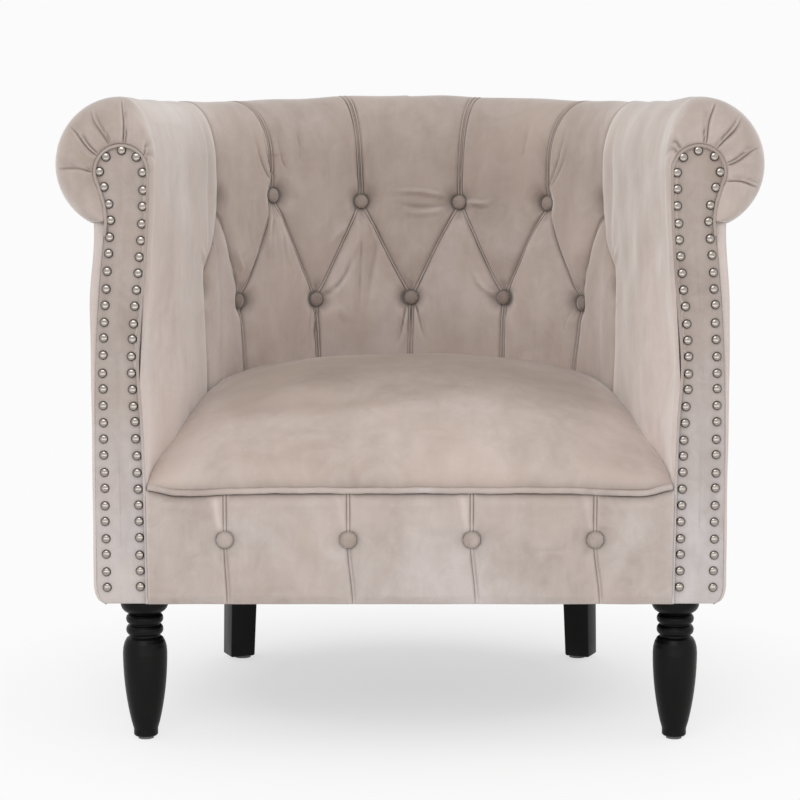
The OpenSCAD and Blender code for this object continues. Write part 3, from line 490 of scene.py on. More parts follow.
def rightColumns():
    # columns of the right half as (fold, side, share, kind): kind 0 is the pillow over a lower
    # button, 1 the one over an upper button, 2 the strip along a fold, 3 plain arm, 4 front lip
    edge = mix(closeEnds(tuft["cell"]), np.linspace(0, 1, tuft["cell"] + 1), 0.45)
    quarters = (0, 0.25, 0.5, 0.75)
    cols = [(0, 0, t, 0) for t in edge[tuft["cell"] // 2:-1]]
    for k in range(4):
        if k:
            cols += [(k, 0, t, 0) for t in edge[:-1]]
        cols += [(k, 1, t, 2) for t in quarters]
        if k < 3:
            cols += [(k, 0, t, 1) for t in edge[:-1]]
            cols += [(k + 1, -1, t, 2) for t in quarters]
    half = 1 - np.cos(np.pi / 2 * np.linspace(0, 1, 16))
    cols += [(3, 0, 0.22 * t, 3) for t in half]
    cols += [(3, 0, t, 3) for t in np.linspace(0.22, 1, tuft["arm"])[1:]]
    cols += [(0, 0, t, 4) for t in np.linspace(0, 1, tuft["front"] + 1)[1:]]
    return np.array(cols, float)


def coverColumns(z):
    # path length, share across the pillow and the pillow's width, for a height at each point
    k, way, t, kind = (cols[None, :, i] for i in range(4))
    f = foldShare(z)
    e = np.minimum(tuft["lip"] / pitch, np.minimum(f, 0.5 - f) * 0.4)
    last = np.where((k == 3) & (way >= 0), np.minimum(f, 0.10 + 0.05 * smooth((f - 0.1) / 0.3)), f)
    a = np.where(kind == 0, k - f + e, k + f + e)
    b = np.where(kind == 0, k + last - e, k + 1 - f - e)
    centre = np.where(way > 0, k + last, k - f)
    u = np.where(kind == 2, centre - e + 2 * e * t, mix(a, b, t))
    arm = mix((3 + last + e) * pitch, sLip, t)
    s = np.where(kind == 3, arm, np.where(kind == 4, sLip, u * pitch))
    width = np.where(kind == 2, 2 * e, b - a) * pitch
    return s, width


# Creases that the cloth shows beside the buttons: s and z of both ends, height, width and bow
# of the ridge, all in mm
creases = [(84, 626, 152, 630, 2.6, 3.4, 8), (84, 618, 144, 614, 2.2, 3.2, -6),
           (66, 628, -46, 634, 3, 3.6, 6), (64, 619, -30, 622, -2.2, 2.6, -5),
           (60, 612, -24, 610, 2, 4, -4), (-6, 480, -20, 420, -4.2, 2.4, 0),
           (9, 482, 26, 424, -4.2, 2.4, 0), (-146, 492, -96, 560, -3.6, 4, 13),
           (-80, 580, -88, 432, -2.6, 4.5, 0), (-48, 584, -78, 436, -3, 8, 4),
           (-152, 476, -164, 416, -3.2, 2.4, 2), (2, 476, 3, 440, -1.6, 2.2, 0),
           (148, 494, 104, 545, 2.6, 4.5, -12), (146, 486, 120, 500, 2, 4, 4),
           (-84, 600, -112, 530, 3, 7, -6), (-70, 600, -80, 505, 2.4, 7, 6),
           (-96, 590, -150, 545, 2.2, 6, 6), (-62, 600, -44, 540, 2, 6, 0),
           (-240, 606, -256, 520, 2.6, 4.5, 8), (-226, 604, -206, 530, 2.6, 4.5, 6),
           (-232, 600, -232, 530, 2, 5, 0), (-250, 606, -286, 560, 1.8, 5, 0),
           (-240, 640, -292, 730, -2.6, 2.4, -10), (-228, 644, -268, 730, -2.6, 2.2, -8),
           (-216, 660, -236, 720, -2, 2.2, -4), (-190, 670, -196, 735, -2.2, 2.4, 0),
           (-84, 640, -98, 738, -2, 2.2, 0), (236, 640, 290, 728, -2.6, 2.4, 10),
           (246, 640, 306, 716, -2.2, 2.4, 8), (196, 680, 206, 730, -1.8, 2.4, 0),
           (72, 645, 88, 730, -1.8, 2.2, 4), (158, 478, 170, 428, -2, 2.6, 0),
           (-148, 478, -160, 426, -2.2, 2.4, 0), (-166, 478, -176, 428, -2, 2.4, 0),
           (-132, 496, -104, 530, 2, 5, 6), (-122, 482, -92, 450, 1.6, 6, 0),
           (296, 500, 284, 440, -2, 2.6, 0), (-300, 500, -312, 440, -2, 2.6, 0),
           (-322, 520, -352, 548, 2, 4, 0), (-316, 528, -338, 566, 1.8, 4, 0),
           (322, 518, 352, 544, 2, 4, 0), (376, 606, 350, 560, 2, 5, 0), (-376, 606, -352, 556, 2, 5, 0),
           (-466, 500, -486, 440, -2, 5, 6), (466, 500, 490, 440, -2, 5, -6),
           (-480, 520, -520, 560, 1.8, 7, 0), (480, 520, 516, 566, 1.8, 7, 0)]

# Where the painted crease shade shows faint, as (s, z, reach along, reach up) in mm and by what share
faint = [(38, 556, 34, 60, 0.55), (192, 556, 34, 55, 0.6), (0, 430, 10, 42, 0.7), (154, 430, 14, 45, 0.5),
         (84, 700, 24, 60, 0.35), (-192, 556, 30, 40, 0.35)]


def faintness(s, z):  # 1 where the painted shade of a fold shows in full
    total = 1.0
    for s0, z0, wide, high, share in faint:
        total = total * (1 - share * bell(s - s0 / 1000, wide / 1000) * bell(z - z0 / 1000, high / 1000))
    return total


def creaseField(s, z):
    # each crease is a gaussian ridge about a bowed line, fading at its far end
    total = np.zeros(s.shape)
    for s0, z0, s1, z1, high, wide, bow in np.array(creases) / 1000:
        along, off = fromLine(s, z, s0, z0, s1 - s0, z1 - z0)
        off = off - 4 * bow * along * (1 - along)
        total += 1.25 * high * bell(off, wide) * smooth(along * 5) * smooth((1 - along) * 1.6)
    return total


def tuftHeight(s, width, z):
    # the padding drops into a valley at each fold and rises in a part-ellipse across each
    # pillow; a fold is a low ridge between two creases; each button has a cone-shaped well
    t, kind = cols[None, :, 2], cols[None, :, 3]
    u = s / pitch
    # folds are deepest level with the buttons, shallower low down and over the roll
    nearRow = np.minimum(np.abs(z - lowZ), np.abs(z - highZ))
    outer = 1 - smooth((u - 2.92) / 0.2) * smooth((z - lowZ - 0.015) / 0.05)
    low = smooth((z - 0.37) / 0.09)
    over = 1 - smooth((z - highZ - 0.02) / 0.13)
    seen = outer * (1 - smooth((z - 0.76) / 0.05))
    valley = tuft["valley"] * (1 + 0.35 * bell(nearRow, 0.05)) * mix(0.55, 1, low) * over * outer
    plump = smooth((width - 0.003) / 0.07) ** 0.8
    across = np.sqrt(np.clip(1 - (2 * t - 1) ** 2, 0, 1))
    past = np.clip((s - 3.02 * pitch) / 0.05, 0, 1)
    pillow = np.where(kind == 3, np.sqrt(past * (2 - past)), plump * across)
    shareOff = np.minimum(t, 1 - t) * width
    crease = tuft["crease"] * bell(np.where(kind == 3, past * 0.05, shareOff), tuft["creaseWide"])
    h = -valley * (1 - pillow) - crease * seen
    seen = seen * (1 - 0.45 * smooth((z - highZ - 0.01) / 0.08))
    ridge = -valley + (tuft["ridge"] * np.sin(np.pi * t) - tuft["crease"]) * seen
    h = np.where(kind == 2, ridge, np.where(kind == 4, 0, h))
    lowU, highU = np.clip(np.round(u), -3, 3), np.clip(np.round(u - 0.5) + 0.5, -2.5, 2.5)
    # distance to the nearest button; the wells are a little wider than high
    r = np.minimum(np.hypot((u - lowU) * pitch * tuft["wellWide"], z - lowZ),
                   np.hypot((u - highU) * pitch * tuft["wellWide"], z - highZ))
    well = np.clip((tuft["reach"] - r) / (tuft["reach"] - tuft["buttonR"]), 0, 1)
    h = mix(h, -tuft["button"], mix(well ** 2.2, smooth(well), 0.25))
    # painted shade: a dark ring round each button and a softer shade in its well, deeper in the lower row
    deeper = bell(z - lowZ + 0.003, 0.014)
    shade = 0.7 * bell(r - tuft["buttonR"], 0.0032) + (0.34 + 0.14 * deeper) * smooth((-h - 0.004) / 0.013)
    return h, shade


def rollTurns(side):
    # angles round the roll, closer together where the front has a pleat
    grid = np.linspace(*rollSweep, 2000)
    total = np.cumsum(1 + 5 * sum(bell(grid - a, 3.0) for a in pleatAngles[side]))
    share = (total - total[0]) / (total[-1] - total[0])
    return np.interp(np.linspace(0, 1, tuft["rollRows"] + 1)[1:], share, grid)


def coverSection():
    # rows of the skin before it is tufted: up the inside face, then round the roll
    q = np.concatenate([[0, 0.02, 0.04], np.linspace(0.07, 1, tuft["rows"])])[:, None]
    rowsIn = len(q)
    turns = np.radians(np.linspace(*rollSweep, tuft["rollRows"] + 1)[1:])[:, None]
    over = tuft["overRoll"] * (np.pi - turns)
    level = np.concatenate([mix(tuft["seatZ"], 0.68, q), 0.68 + over]) * np.ones((1, len(cols)))
    for _ in range(4):  # the pattern's height depends on the roll's, which depends on the place
        s, width = coverColumns(level)
        s = s + pleatLean(s / pitch, level) * pitch * (cols[None, :, 3] < 3)
        rise = rollZ(s)
        level = np.concatenate([mix(tuft["seatZ"], rise[:rowsIn], q), rise[rowsIn:] + over])
    return s, width, level, rowsIn, turns


def lipTarget(z, turn):
    # the panel's edge that each row closes on: up its inner side, round its head, to its neck
    head = panel["headR"] + 0.0008
    up = points(innerX(z) + 0.0004, np.minimum(z, panel["headZ"]))
    neck = smooth((-turn - math.radians(30)) / math.radians(32))
    over = points(mix(panel["headX"] + head * np.cos(turn), float(outerX(neckZ)) + 0.0008, neck),
                  mix(panel["headZ"] + head * np.sin(turn), neckZ, neck))
    return np.concatenate([up, over])


def armJoin(d):  # 0 where the arm closes on the panel's inner edge, 1 behind there
    return smooth((d - 0.02) / 0.095)


def frontLip(x, y, z, d, target, isLip):
    # the lip swells forward along a half circle from the arm's last column to the panel's edge;
    # g falls from 1 to 0 over it
    last = -1 - tuft["front"]
    base = points(x, z)[:, last]
    out = np.hypot(*(base - target).T)[:, None]
    phi = np.pi * np.where(isLip, cols[None, :, 2], 0)
    g = 0.5 + 0.5 * np.cos(phi)
    swell = np.where(phi < np.pi / 2, tuft["lipDepth"] + 0.007, 0.0085)
    big = -0.007 + swell * (1 - np.sin(phi))
    small = 0.0008 + (tuft["lipDepth"] - 0.0008) * g ** 1.5
    d = np.where(isLip, mix(small, big, smooth((out - 0.006) / 0.03)), d)
    start = y[:, last, None] - frontY - tuft["lipDepth"]
    x = np.where(isLip, mix(target[:, :1], base[:, :1], g), x)
    y = np.where(isLip, frontY + d + start * g, y)
    z = np.where(isLip, mix(target[:, 1:], base[:, 1:], g), z)
    return points(x, y, z), d, g * np.ones(x.shape)


def coverHalf(side):
    # half of the skin before it is tufted: each column is a way gone along the plan, each row a
    # height on the inside face or an angle round the roll; the row gives how far out the point
    # lies from the plan line, as the padding's thickness or the roll's radius times the cosine
    s, width, level, rowsIn, turns = coverSection()
    along, up = pulled(side * s, level)
    s = s + side * along
    onArm, isLip = s > arcLength, cols[None, :, 3] == 4
    inner, rolled = slice(0, rowsIn), slice(rowsIn, None)
    z = level.copy()
    z[inner] += (endRise(s, level) + up)[inner]
    n = -padFace(s)
    reach = (float(armX(0, 0)) - panel["headX"] + panel["headR"] + 0.0026) * cosA
    n[inner] -= smooth((z[inner] - 0.56) / 0.1) * np.maximum(reach + n[inner], 0)
    # the arm's padding bulges inwards just behind the panel, above the seat
    back = np.clip(depthOf(s[inner]) + 0.004, 0, 1) / 0.075
    belowRoll = 1 - smooth((z[inner] - 0.58) / 0.07)
    above = smooth((z[inner] - curveThrough(seat["edge"], depthOf(s[inner]))) / 0.05)
    n[inner] -= 0.0045 * back * np.exp(1 - back) * (above * belowRoll * onArm[inner])
    # over the roll: wider than round on its inner side, where it meets the padding
    clustered = np.radians(rollTurns(side))[:, None]
    turn = mix(turns, clustered, smooth((s[rolled] - 0.46) / 0.16))
    full = rollR - 0.0035 * smooth(1 - depthOf(s[rolled]) / 0.07) * onArm[rolled]
    half = np.where(turn > np.pi / 2, np.maximum(padFace(s[rolled]), reach), full)
    n[rolled] = np.cos(turn) * half
    z[rolled] = rollZ(s[rolled]) + np.where(turn > 0, rollR, full) * np.sin(turn)
    d = np.where(isLip, tuft["lipDepth"], depthOf(s))
    x, y = planXY(s, n, slantOf(s, d))
    # towards the front the lower part of the arm closes on the panel's inner edge
    joins = (1 - smooth((z[inner] - 0.50) / 0.15)) * (1 - armJoin(d[inner])) * onArm[inner]
    bulge = -n[inner] - padFace(s[inner])
    x[inner] = mix(x[inner], innerX(z[inner]) - tuft["joinGap"] - np.maximum(bulge, 0), joins)
    p, d, g = frontLip(x, y, z, d, lipTarget(z[inner, -1], clustered[:, 0]), isLip)
    angle = np.degrees(np.concatenate([np.full((rowsIn, s.shape[1]), np.pi), turn]))
    return p, s, width, level, d, angle, g, rowsIn


# The gathers round the front of the roll, from the arm outwards: how much wider than the
# others, where on the lip and over how much of it each one ends, and its depth; the profile
# across one is (height in metres, place and width in degrees) for each crease and swell
gathers = {"wide": (1.9, 1, 1, 1, 1), "end": (0.7, 0.45, 0.45, 0.45, 0.45),
           "fade": (0.3, 0.5, 0.5, 0.5, 0.5), "deep": (0.75, 1.0, 1.0, 0.9, 0.8), "armAngle": 159,
           "profile": ((0.0018, 2.6, 1.3), (-0.0044, 0, 1.6), (-0.0030, 5.2, 1.4), (0.0012, 12, 6),
                       (0.0008, -7, 5))}


def frontPleats(side, s, d, angle, g):
    # each gather is a row of gaussian hills over the angle round the roll, fading along the lip
    total = np.zeros(s.shape)
    for i, a in enumerate(pleatAngles[side]):
        # the innermost one runs across to the arm
        lean = (gathers["armAngle"] - a) * g ** 0.55 if i == 0 else 0
        off = (angle - a - lean + 2.5 * np.sin(i * 2.4 + 5 * g)) / gathers["wide"][i]
        ends = 1 - smooth((g - gathers["end"][i]) / gathers["fade"][i])
        shape = sum(high * bell(off - at, wide) for high, at, wide in gathers["profile"])
        total += gathers["deep"][i] * ends * shape
    onFront = smooth((0.055 - d) / 0.05) * smooth((s - sLip + 0.065) / 0.02)
    return total * onFront * smooth(g * 8)


def dressInsideCover():
    # each half is pushed out along its normals by the sum of the tufts, creases, gathers and a
    # slow ripple; the left half is mirrored and joined to the right one in the middle
    skins, folds = [], []
    for side in (1, -1):
        p, s, width, level, d, angle, g, rowsIn = coverHalf(side)
        kind = cols[None, :, 3]
        h, shade = tuftHeight(s, width, level)
        offLip = smooth((d - tuft["lipDepth"]) / 0.03) * (kind < 4)
        h = h + creaseField(s * side, level) * offLip
        h = h + frontPleats(side, s, d, angle, g)
        soft = smooth((level - 0.3) / 0.1)
        h = h + 0.0009 * rippleField(5 + side, 12, 0.07, 0.18, s, level) * soft * offLip
        p = p + gridNormals(p) * h[..., None]
        # the painted crease shade is made stronger or weaker at random, fainter in the listed places and at
        # the lip, and the painted shade of the button wells is added to it
        shadeStrength = np.clip(0.82 + 0.32 * rippleField(71 + side, 10, 0.03, 0.09, s, level), 0.35, 1.15)
        atLip = np.where(kind == 4, 1 - smooth(cols[None, :, 2] / 0.5), bell(s - sLip, 0.012))
        shadeStrength = shadeStrength * faintness(s * side, level)
        shadeStrength = shadeStrength * np.where(kind == 4, 0.75, 1) * (1 - atLip * (1 - smooth((level - 0.655) / 0.02)))
        fold = foldOf(p) * shadeStrength + shade * (kind < 4)
        folds.append(np.concatenate([fold, np.zeros((5, fold.shape[1]))], 0))
        # closing rows that don't show: in under the roll and down the back of the padding
        onLip = cols[:, 3] == 4
        hidden = []
        for n, z in ((0.030, None), (0.026, None), (0.003, 0.60), (0.003, 0.45), (0.003, tuft["seatZ"])):
            under = p[-1, :, 2] + (0.03 - n) * 3 + 0.004 if z is None else z
            row = points(*planXY(s[-1], n, slantOf(s[-1], depthOf(s[-1]))), under)
            near = p[-1] if z is None else p[np.argmin(np.abs(p[:rowsIn, -1, 2] - z))]
            row[onLip] = near[onLip] + np.array([0.0, 0.0006, 0.001 if z is None else 0.0])
            hidden.append(row)
        skins.append(np.concatenate([p, np.array(hidden)], 0))
    right, left = skins
    left = left[:, ::-1] * np.array([-1, 1, 1])
    skin = np.concatenate([left[:, :-1], right], 1)
    fold = np.concatenate([folds[1][:, :0:-1], folds[0]], 1)
    obj = makeGrid("insideCover", skin, "rows", flip=True)
    covered = ["inside_back", "inside_arm_left", "inside_arm_right"]
    return finishPiece(obj, velvet, covered, fold)


cols = rightColumns()
dressInsideCover()
print("inside cover made")


# Seat
def seatHalf(d):
    # half width: up to the arm's padding, then the circle inside the back's padding
    s = np.maximum(sOfDepth(d), arcLength)
    edgeX = float(innerX(tuft["seatZ"])) - tuft["joinGap"]
    arm = mix(edgeX, armX(d, -padFace(s)), armJoin(d))
    turn = np.arcsin(np.clip((d - tubDepth) / seat["rim"], 0, 1))
    rim = mix(arcR - 0.037, seat["rim"], smooth((d - tubDepth) / 0.12))
    return np.where(d < tubDepth, arm, rim * np.cos(turn))


def dressSeat():
    # height falls from the crown line to the edge line as (1 - t^2.4)^0.8 across each station
    turn = np.radians(np.linspace(0, 90, seat["along"] // 2))
    d = np.concatenate([[0.0005, 0.002, 0.005, 0.009, 0.0135, 0.019],
                        np.linspace(0.026, tubDepth, seat["along"] // 2),
                        tubDepth + seat["rim"] * np.sin(turn)[1:]])[:, None]
    t = np.sin(np.radians(np.linspace(-90, 90, seat["across"] + 1)))[None]
    half, fromSide = np.maximum(seatHalf(d), 0.004), 1 - np.abs(t)
    d = d + 0 * t
    edge, crown = curveThrough(seat["edge"], d), curveThrough(seat["crownLine"], d)
    x, y = t * half, frontY + d
    z = mix(edge, crown, (1 - np.abs(t) ** 2.4) ** 0.8)
    z = z + 0.0009 * rippleField(21, 10, 0.06, 0.2, x, y) * smooth((d - 0.02) / 0.08) * smooth(fromSide * 8)
    top = points(x, y, z)
    low = top[:, ::-1].copy()
    low[..., 2] = np.where(d[:, ::-1] < 0.0085, np.minimum(0.2958, low[..., 2] - 0.002), 0.264)
    low[..., 0] *= 0.998
    obj = makeGrid("seatPad", np.concatenate([top, low[:, 1:-1]], 1))
    # painted shade where the seat meets the arms, from the middle back, and along its front edge above the
    # welt
    fold = 0.45 * bell(fromSide * half, 0.004) * smooth((d - 0.12) / 0.12) + 0.3 * bell(d, 0.0045)
    fold = np.concatenate([fold, 0 * low[:, 1:-1, 0]], 1)
    return finishPiece(obj, velvetSeat, ["seat_cushion"], fold)


dressSeat()
print("seat made")


# Cords and tubes
def makeTube(name, path, radius, sides):
    # a ring of points square to the path at each of its points
    tangent = unit(np.gradient(path, axis=0))
    u = unit(np.cross((0, 1.0, 0), tangent))
    v = np.cross(tangent, u)
    a = np.linspace(0, 2 * np.pi, sides, endpoint=False)[None, :, None]
    r = np.broadcast_to(radius, (len(path),))[:, None, None]
    return makeGrid(name, path[:, None] + r * (np.cos(a) * u[:, None] + np.sin(a) * v[:, None]), flip=True)


welt = {"half": 0.2945, "z": 0.2977, "dip": 0.0030, "rise": 0.0050, "out": 0.0036, "radius": 0.0032,
        "wobble": 0.0002, "uneven": 0.00012, "steps": 260, "sides": 14}


def weltZ(x):  # dips near its ends and turns up against the panels
    a = np.abs(x)
    return welt["z"] - welt["dip"] * bell(a - 0.250, 0.045) + welt["rise"] * smooth((a - 0.262) / 0.034)


def dressWelt():
    # a tube along the seat's front edge; sine waves make its line and its thickness uneven
    x = np.linspace(-welt["half"], welt["half"], welt["steps"])
    wobble = welt["wobble"] * np.sin(x * 47 + 1) + welt["wobble"] * np.sin(x * 113)
    path = points(x, frontY - welt["out"], weltZ(x) + wobble)
    radius = welt["radius"] + welt["uneven"] * np.sin(x * 300)
    obj = makeTube("seatWelt", path, radius, welt["sides"])
    return finishPiece(obj, velvetFront, ["seat_welt"])


dressWelt()

# Apron
apron = {"pitch": 0.139, "buttonZ": 0.2416, "puff": 0.0062, "strip": 0.0017, "valley": 0.0078,
         "crease": 0.0020, "ridge": 0.0030, "reach": 0.028, "slope": 0.0195, "dragDeep": 0.0012,
         "dragWide": 0.0040, "cell": 46, "rows": 90, "buttonR": 0.0097,
         "drift": (0.0036, 0.0062, 0.0058, 0.0070),
         # drawn: how strongly each pleat's cloth is painted light above its button
         "drawn": (1.0, 0.45, 1.0, 0.55),
         "drags": ((0, -0.006, -0.03), (1, 0.006, -0.032), (1, -0.003, -0.028), (2, 0.009, -0.03))}
apronHalf = float(innerX(0.2)) - 0.0004
apronFolds = (np.arange(4) - 1.5) * apron["pitch"]


def apronColumns():
    # five pillows between four pleats; each pleat is a narrow strip between two creases: x,
    # share across the pillow or strip, and 1 on a strip
    share = closeEnds(apron["cell"])
    quarters = np.array([0.25, 0.5, 0.75])
    starts = [-apronHalf, *(apronFolds + apron["strip"])]
    ends = [*(apronFolds - apron["strip"]), apronHalf]
    parts = []
    for a, b in zip(starts, ends):
        parts.append([mix(a, b, share), share, 0 * share])
        parts.append([mix(b, b + 2 * apron["strip"], quarters), quarters, 0 * quarters + 1])
    return np.concatenate(parts[:-1], 1)[:, None]


def dressApron():
    # the cloth stands out from the frame by h: five pillows, each a rounded hill across its
    # width, that drop into a valley at each pleat, with a well round each button
    x, t, strip = apronColumns()
    half, folds, buttonZ = apronHalf, apronFolds, apron["buttonZ"]
    rise = np.linspace(0, 1, apron["rows"])[:, None]
    top = weltZ(x) - 0.0042
    z = mix(bottomZ, top, rise)
    nearest = np.min(np.abs(x - folds[:, None, None]), 0)
    r = np.hypot(nearest, z - buttonZ)
    across = np.clip(1 - np.abs(2 * t - 1) ** 3.2, 0, 1) ** 0.7
    outerCell = (x < folds[0] - 0.002) | (x > folds[-1] + 0.002)
    rising = 1 - np.clip(np.where(x < 0, 1 - t, t) / 0.6, 0, 1)
    across = np.where(outerCell, np.sqrt(1 - rising ** 2), across)
    valley = apron["valley"] * (0.6 + 0.4 * bell(z - buttonZ, 0.03))
    crease = apron["crease"] * bell(np.minimum(t, 1 - t) * 0.13, 0.0012) * (1 - strip)
    ridge = apron["ridge"] * np.sin(np.pi * t) * smooth((z - buttonZ + 0.02) / 0.03)
    drop = np.where(strip > 0, valley + apron["crease"] - ridge, valley * (1 - across) + crease)
    h = apron["puff"] - drop
    well = np.clip((apron["reach"] - r) / apron["slope"], 0, 1) ** 1.6
    h = mix(h, -0.0002, well)
    h = h * smooth((z - bottomZ + 0.004) / 0.016) * smooth((top - z + 0.006) / 0.018)
    # soft drags below the buttons, as (fold, run along x, run along z)
    for k, dx, dz in apron["drags"]:
        along, off = fromLine(x, z, folds[k], buttonZ, dx, dz)
        fades = smooth(along * 3) * smooth((1.3 - along) * 1.5)
        h = h - apron["dragDeep"] * bell(off, apron["dragWide"]) * fades
    h = h + 0.0005 * rippleField(31, 9, 0.05, 0.12, x, z)
    # below the buttons the pleats drift to the right; the two ends follow the panels' edges
    drift = np.interp(x, [-half, *folds, half], [0, *apron["drift"], 0])
    drift = drift * smooth((buttonZ - z) / 0.075)
    widen = np.clip((np.abs(x) - 0.22) / (half - 0.22), 0, 1) * (innerX(z) - innerX(0.2))
    face = points(x + drift + np.sign(x) * widen, frontY - h, z)
    # below a button the painted shade stays in only one of the pleat's two creases, and above it
    # the cloth beside the pleat is painted light
    nearFold = np.argmin(np.abs(x[0][:, None] - folds[None]), 1)
    fx = folds[nearFold][None]
    shadeCut = smooth((buttonZ - z) / 0.012) * (x > fx)
    up = (z - buttonZ - 0.006) / (top - buttonZ - 0.006)
    drawn = bell((x - fx + 0.005 + 0.006 * up) / (0.0022 + 0.0032 * up), 1) * smooth(up * 4)
    drawn = drawn * smooth((1 - up) * 5 + 0.2) * np.array(apron["drawn"])[nearFold][None]
    fold = foldOf(face) * (1 - 0.7 * shadeCut) - 2.0 * drawn
    # painted shade just under the welt, in a ring round each button and to each button's lower right
    fold = fold + 0.30 * bell(top - z, 0.003) + 0.14 * bell(top - z, 0.02)
    shadeR = np.hypot(x - fx - 0.002, z - buttonZ + 0.004)
    fold = fold + 0.6 * bell(r - apron["buttonR"] - 0.0003, 0.0012) + 0.20 * bell(shadeR, 0.016)
    backRow = face[[-1, 0]].copy()
    backRow[:, :, 1] = frontY + 0.0078
    ring = np.concatenate([face, backRow], 0)
    fold = np.concatenate([fold, fold[[-1, 0]] * 0], 0)
    obj = makeGrid("apronCover", ring, "rows")
    return finishPiece(obj, velvetFront, ["apron_cover"], fold)


dressApron()
print("apron made")


# Covered buttons and nails
buttonShape = {"radius": 0.0093, "high": 0.0066, "rings": 10, "sides": 32, "low": -28, "gather": 0.018}
nailShape = {"radius": 0.0052, "high": 0.0036, "rings": 7, "sides": 20, "low": -12, "gather": 0.0}


def domePoints(shape, seed):
    # a dome whose rim turns in, with slight gathers round the rim
    rng = np.random.default_rng(seed)
    a = np.linspace(0, 2 * np.pi, shape["sides"], endpoint=False)[None]
    phi = np.radians(np.linspace(shape["low"], 89, shape["rings"]))[:, None]
    gather = 1 + shape["gather"] * np.sin(a * 9 + rng.uniform(0, 6)) * np.cos(phi) ** 3
    r = shape["radius"] * np.cos(phi) ** 0.75 * gather
    uneven = 1 + shape["gather"] * np.cos(a * 2 + rng.uniform(0, 6))
    z = shape["high"] * (0.30 + 0.70 * np.sin(phi)) * uneven
    return points(r * np.cos(a), r * np.sin(a), z)


def placeDomes(name, places, shape):
    # places: (origin, outward direction of length 1) pairs; each dome is turned to face outwards
    rings = []
    for i, (origin, face) in enumerate(places):
        side = unit(np.cross([0, 0, 1.0], face))
        up = np.cross(face, side)
        b = domePoints(shape, 40 + i)
        rings.append(origin + b[..., :1] * side + b[..., 1:2] * up + b[..., 2:] * np.array(face))
    return makeGrid(name, rings)


def placeButtons(name, places, replaced, depth):
    # depth is the painted shade laid on the whole button, more for deeper wells; the rim is painted darkest
    obj = placeDomes(name, places, buttonShape)
    rim = np.linspace(1, 0, buttonShape["rings"])[:, None] ** 2.5 * np.ones((1, buttonShape["sides"]))
    fold = np.tile((depth + (1 - depth) * rim).ravel(), len(places))
    return finishPiece(obj, velvetButton, [replaced], fold)


def backButton(u, z):  # place and outward direction of the button u pitches from the middle
    s = np.array(u * pitch)
    along, up = pulled(s, z)
    z = float(z + endRise(s, z) + up)
    s = s + along
    x, y = planXY(s, 0.018 - padFace(s))
    a = float(np.clip(s / arcR, -math.pi / 2 + splay, math.pi / 2 - splay))
    out = np.array([-math.sin(a), -math.cos(a), 0.0])
    return np.array([float(x), float(y), z]) + 0.0006 * out, out


def apronButton(k):  # the same for the apron
    return (apronFolds[k], frontY - 0.0002, apron["buttonZ"]), (0, -1, 0)


upperPlaces = [backButton(k, highZ) for k in np.arange(-2.5, 3)]
lowerPlaces = [backButton(k, lowZ) for k in range(-3, 4)]
placeButtons("upperButtons", upperPlaces, "upper_buttons", 0.27)
placeButtons("lowerButtons", lowerPlaces, "lower_buttons", 0.42)
placeButtons("apronButtons", [apronButton(k) for k in range(4)], "apron_buttons", 0.0)
print("buttons made")


# Scroll panels and their cords
def runAlong(path):  # way gone along a flat path, at each of its points
    return np.concatenate([[0], np.cumsum(np.hypot(*np.diff(path, axis=0).T))])


def pointsAt(path, run, at):  # places on a path, by the way gone along it
    return points(*(np.interp(at, run, path[:, i]) for i in (0, 1)))


def panelLoop(inset, steps):
    # outline from the inner foot over the head to the outer foot, as (x, z)
    headX, headZ, headR = panel["headX"], panel["headZ"], panel["headR"]
    zIn = np.linspace(bottomZ, headZ - 0.008, 90)
    inner = points(innerX(zIn) + inset, np.maximum(zIn, bottomZ + inset))
    a = np.radians(np.linspace(176, -30, 40))
    head = points(headX + (headR - inset) * np.cos(a), headZ + (headR - inset) * np.sin(a))
    neckX = mix(headX + headR, float(outerX(neckZ)), 0.85) - inset
    zOut = bottomZ + (neckZ - bottomZ) * np.linspace(1, 0, 90) ** 1.5
    outer = points(outerX(zOut) - inset - footCorner(zOut), np.maximum(zOut, bottomZ + inset))
    loop = np.concatenate([inner, head, [[neckX, neckZ + 0.018]], outer])
    run = runAlong(loop)
    return pointsAt(loop, run, np.linspace(0, run[-1], steps))


def nailPlaces(side):
    # evenly spaced from one at the top of the head down both edges, each a little off its line;
    # towards its foot the outer row stands further in
    outline = panelLoop(0.0, 700)
    way = unit(np.gradient(outline, axis=0))
    z = outline[:, 1]
    outerSide = np.arange(len(z)) > np.argmax(z)
    inset = mix(panel["nailHead"], panel["nailInset"], smooth((0.63 - z) / 0.15))
    inset = inset + panel["nailFoot"] * smooth((0.52 - z) / 0.3) * outerSide
    line = outline + points(way[:, 1], -way[:, 0]) * inset[:, None]
    peak = int(np.argmax(line[:, 1]))
    rng = np.random.default_rng(90 + side)
    places = [line[peak]]
    for half in (line[peak::-1], line[peak:]):
        half = half[:np.argmax(half[:, 1] < panel["lowNail"])]
        run = runAlong(half)
        count = round(run[-1] / panel["nailPitch"])
        at = run[-1] * np.arange(1, count + 1) / count + rng.normal(0, 0.0006, count)
        places += list(pointsAt(half, run, at))
    return np.array(places) + rng.normal(0, 0.00025, (len(places), 2))


def dressNails(side, hand):
    places = [((side * x, frontY + 0.0004, z), (0, -1, 0)) for x, z in nailPlaces(side)]
    obj = placeDomes(f"panelNails{hand}", places, nailShape)
    return finishPiece(obj, pewter, [f"panel_nails_{hand.lower()}"])


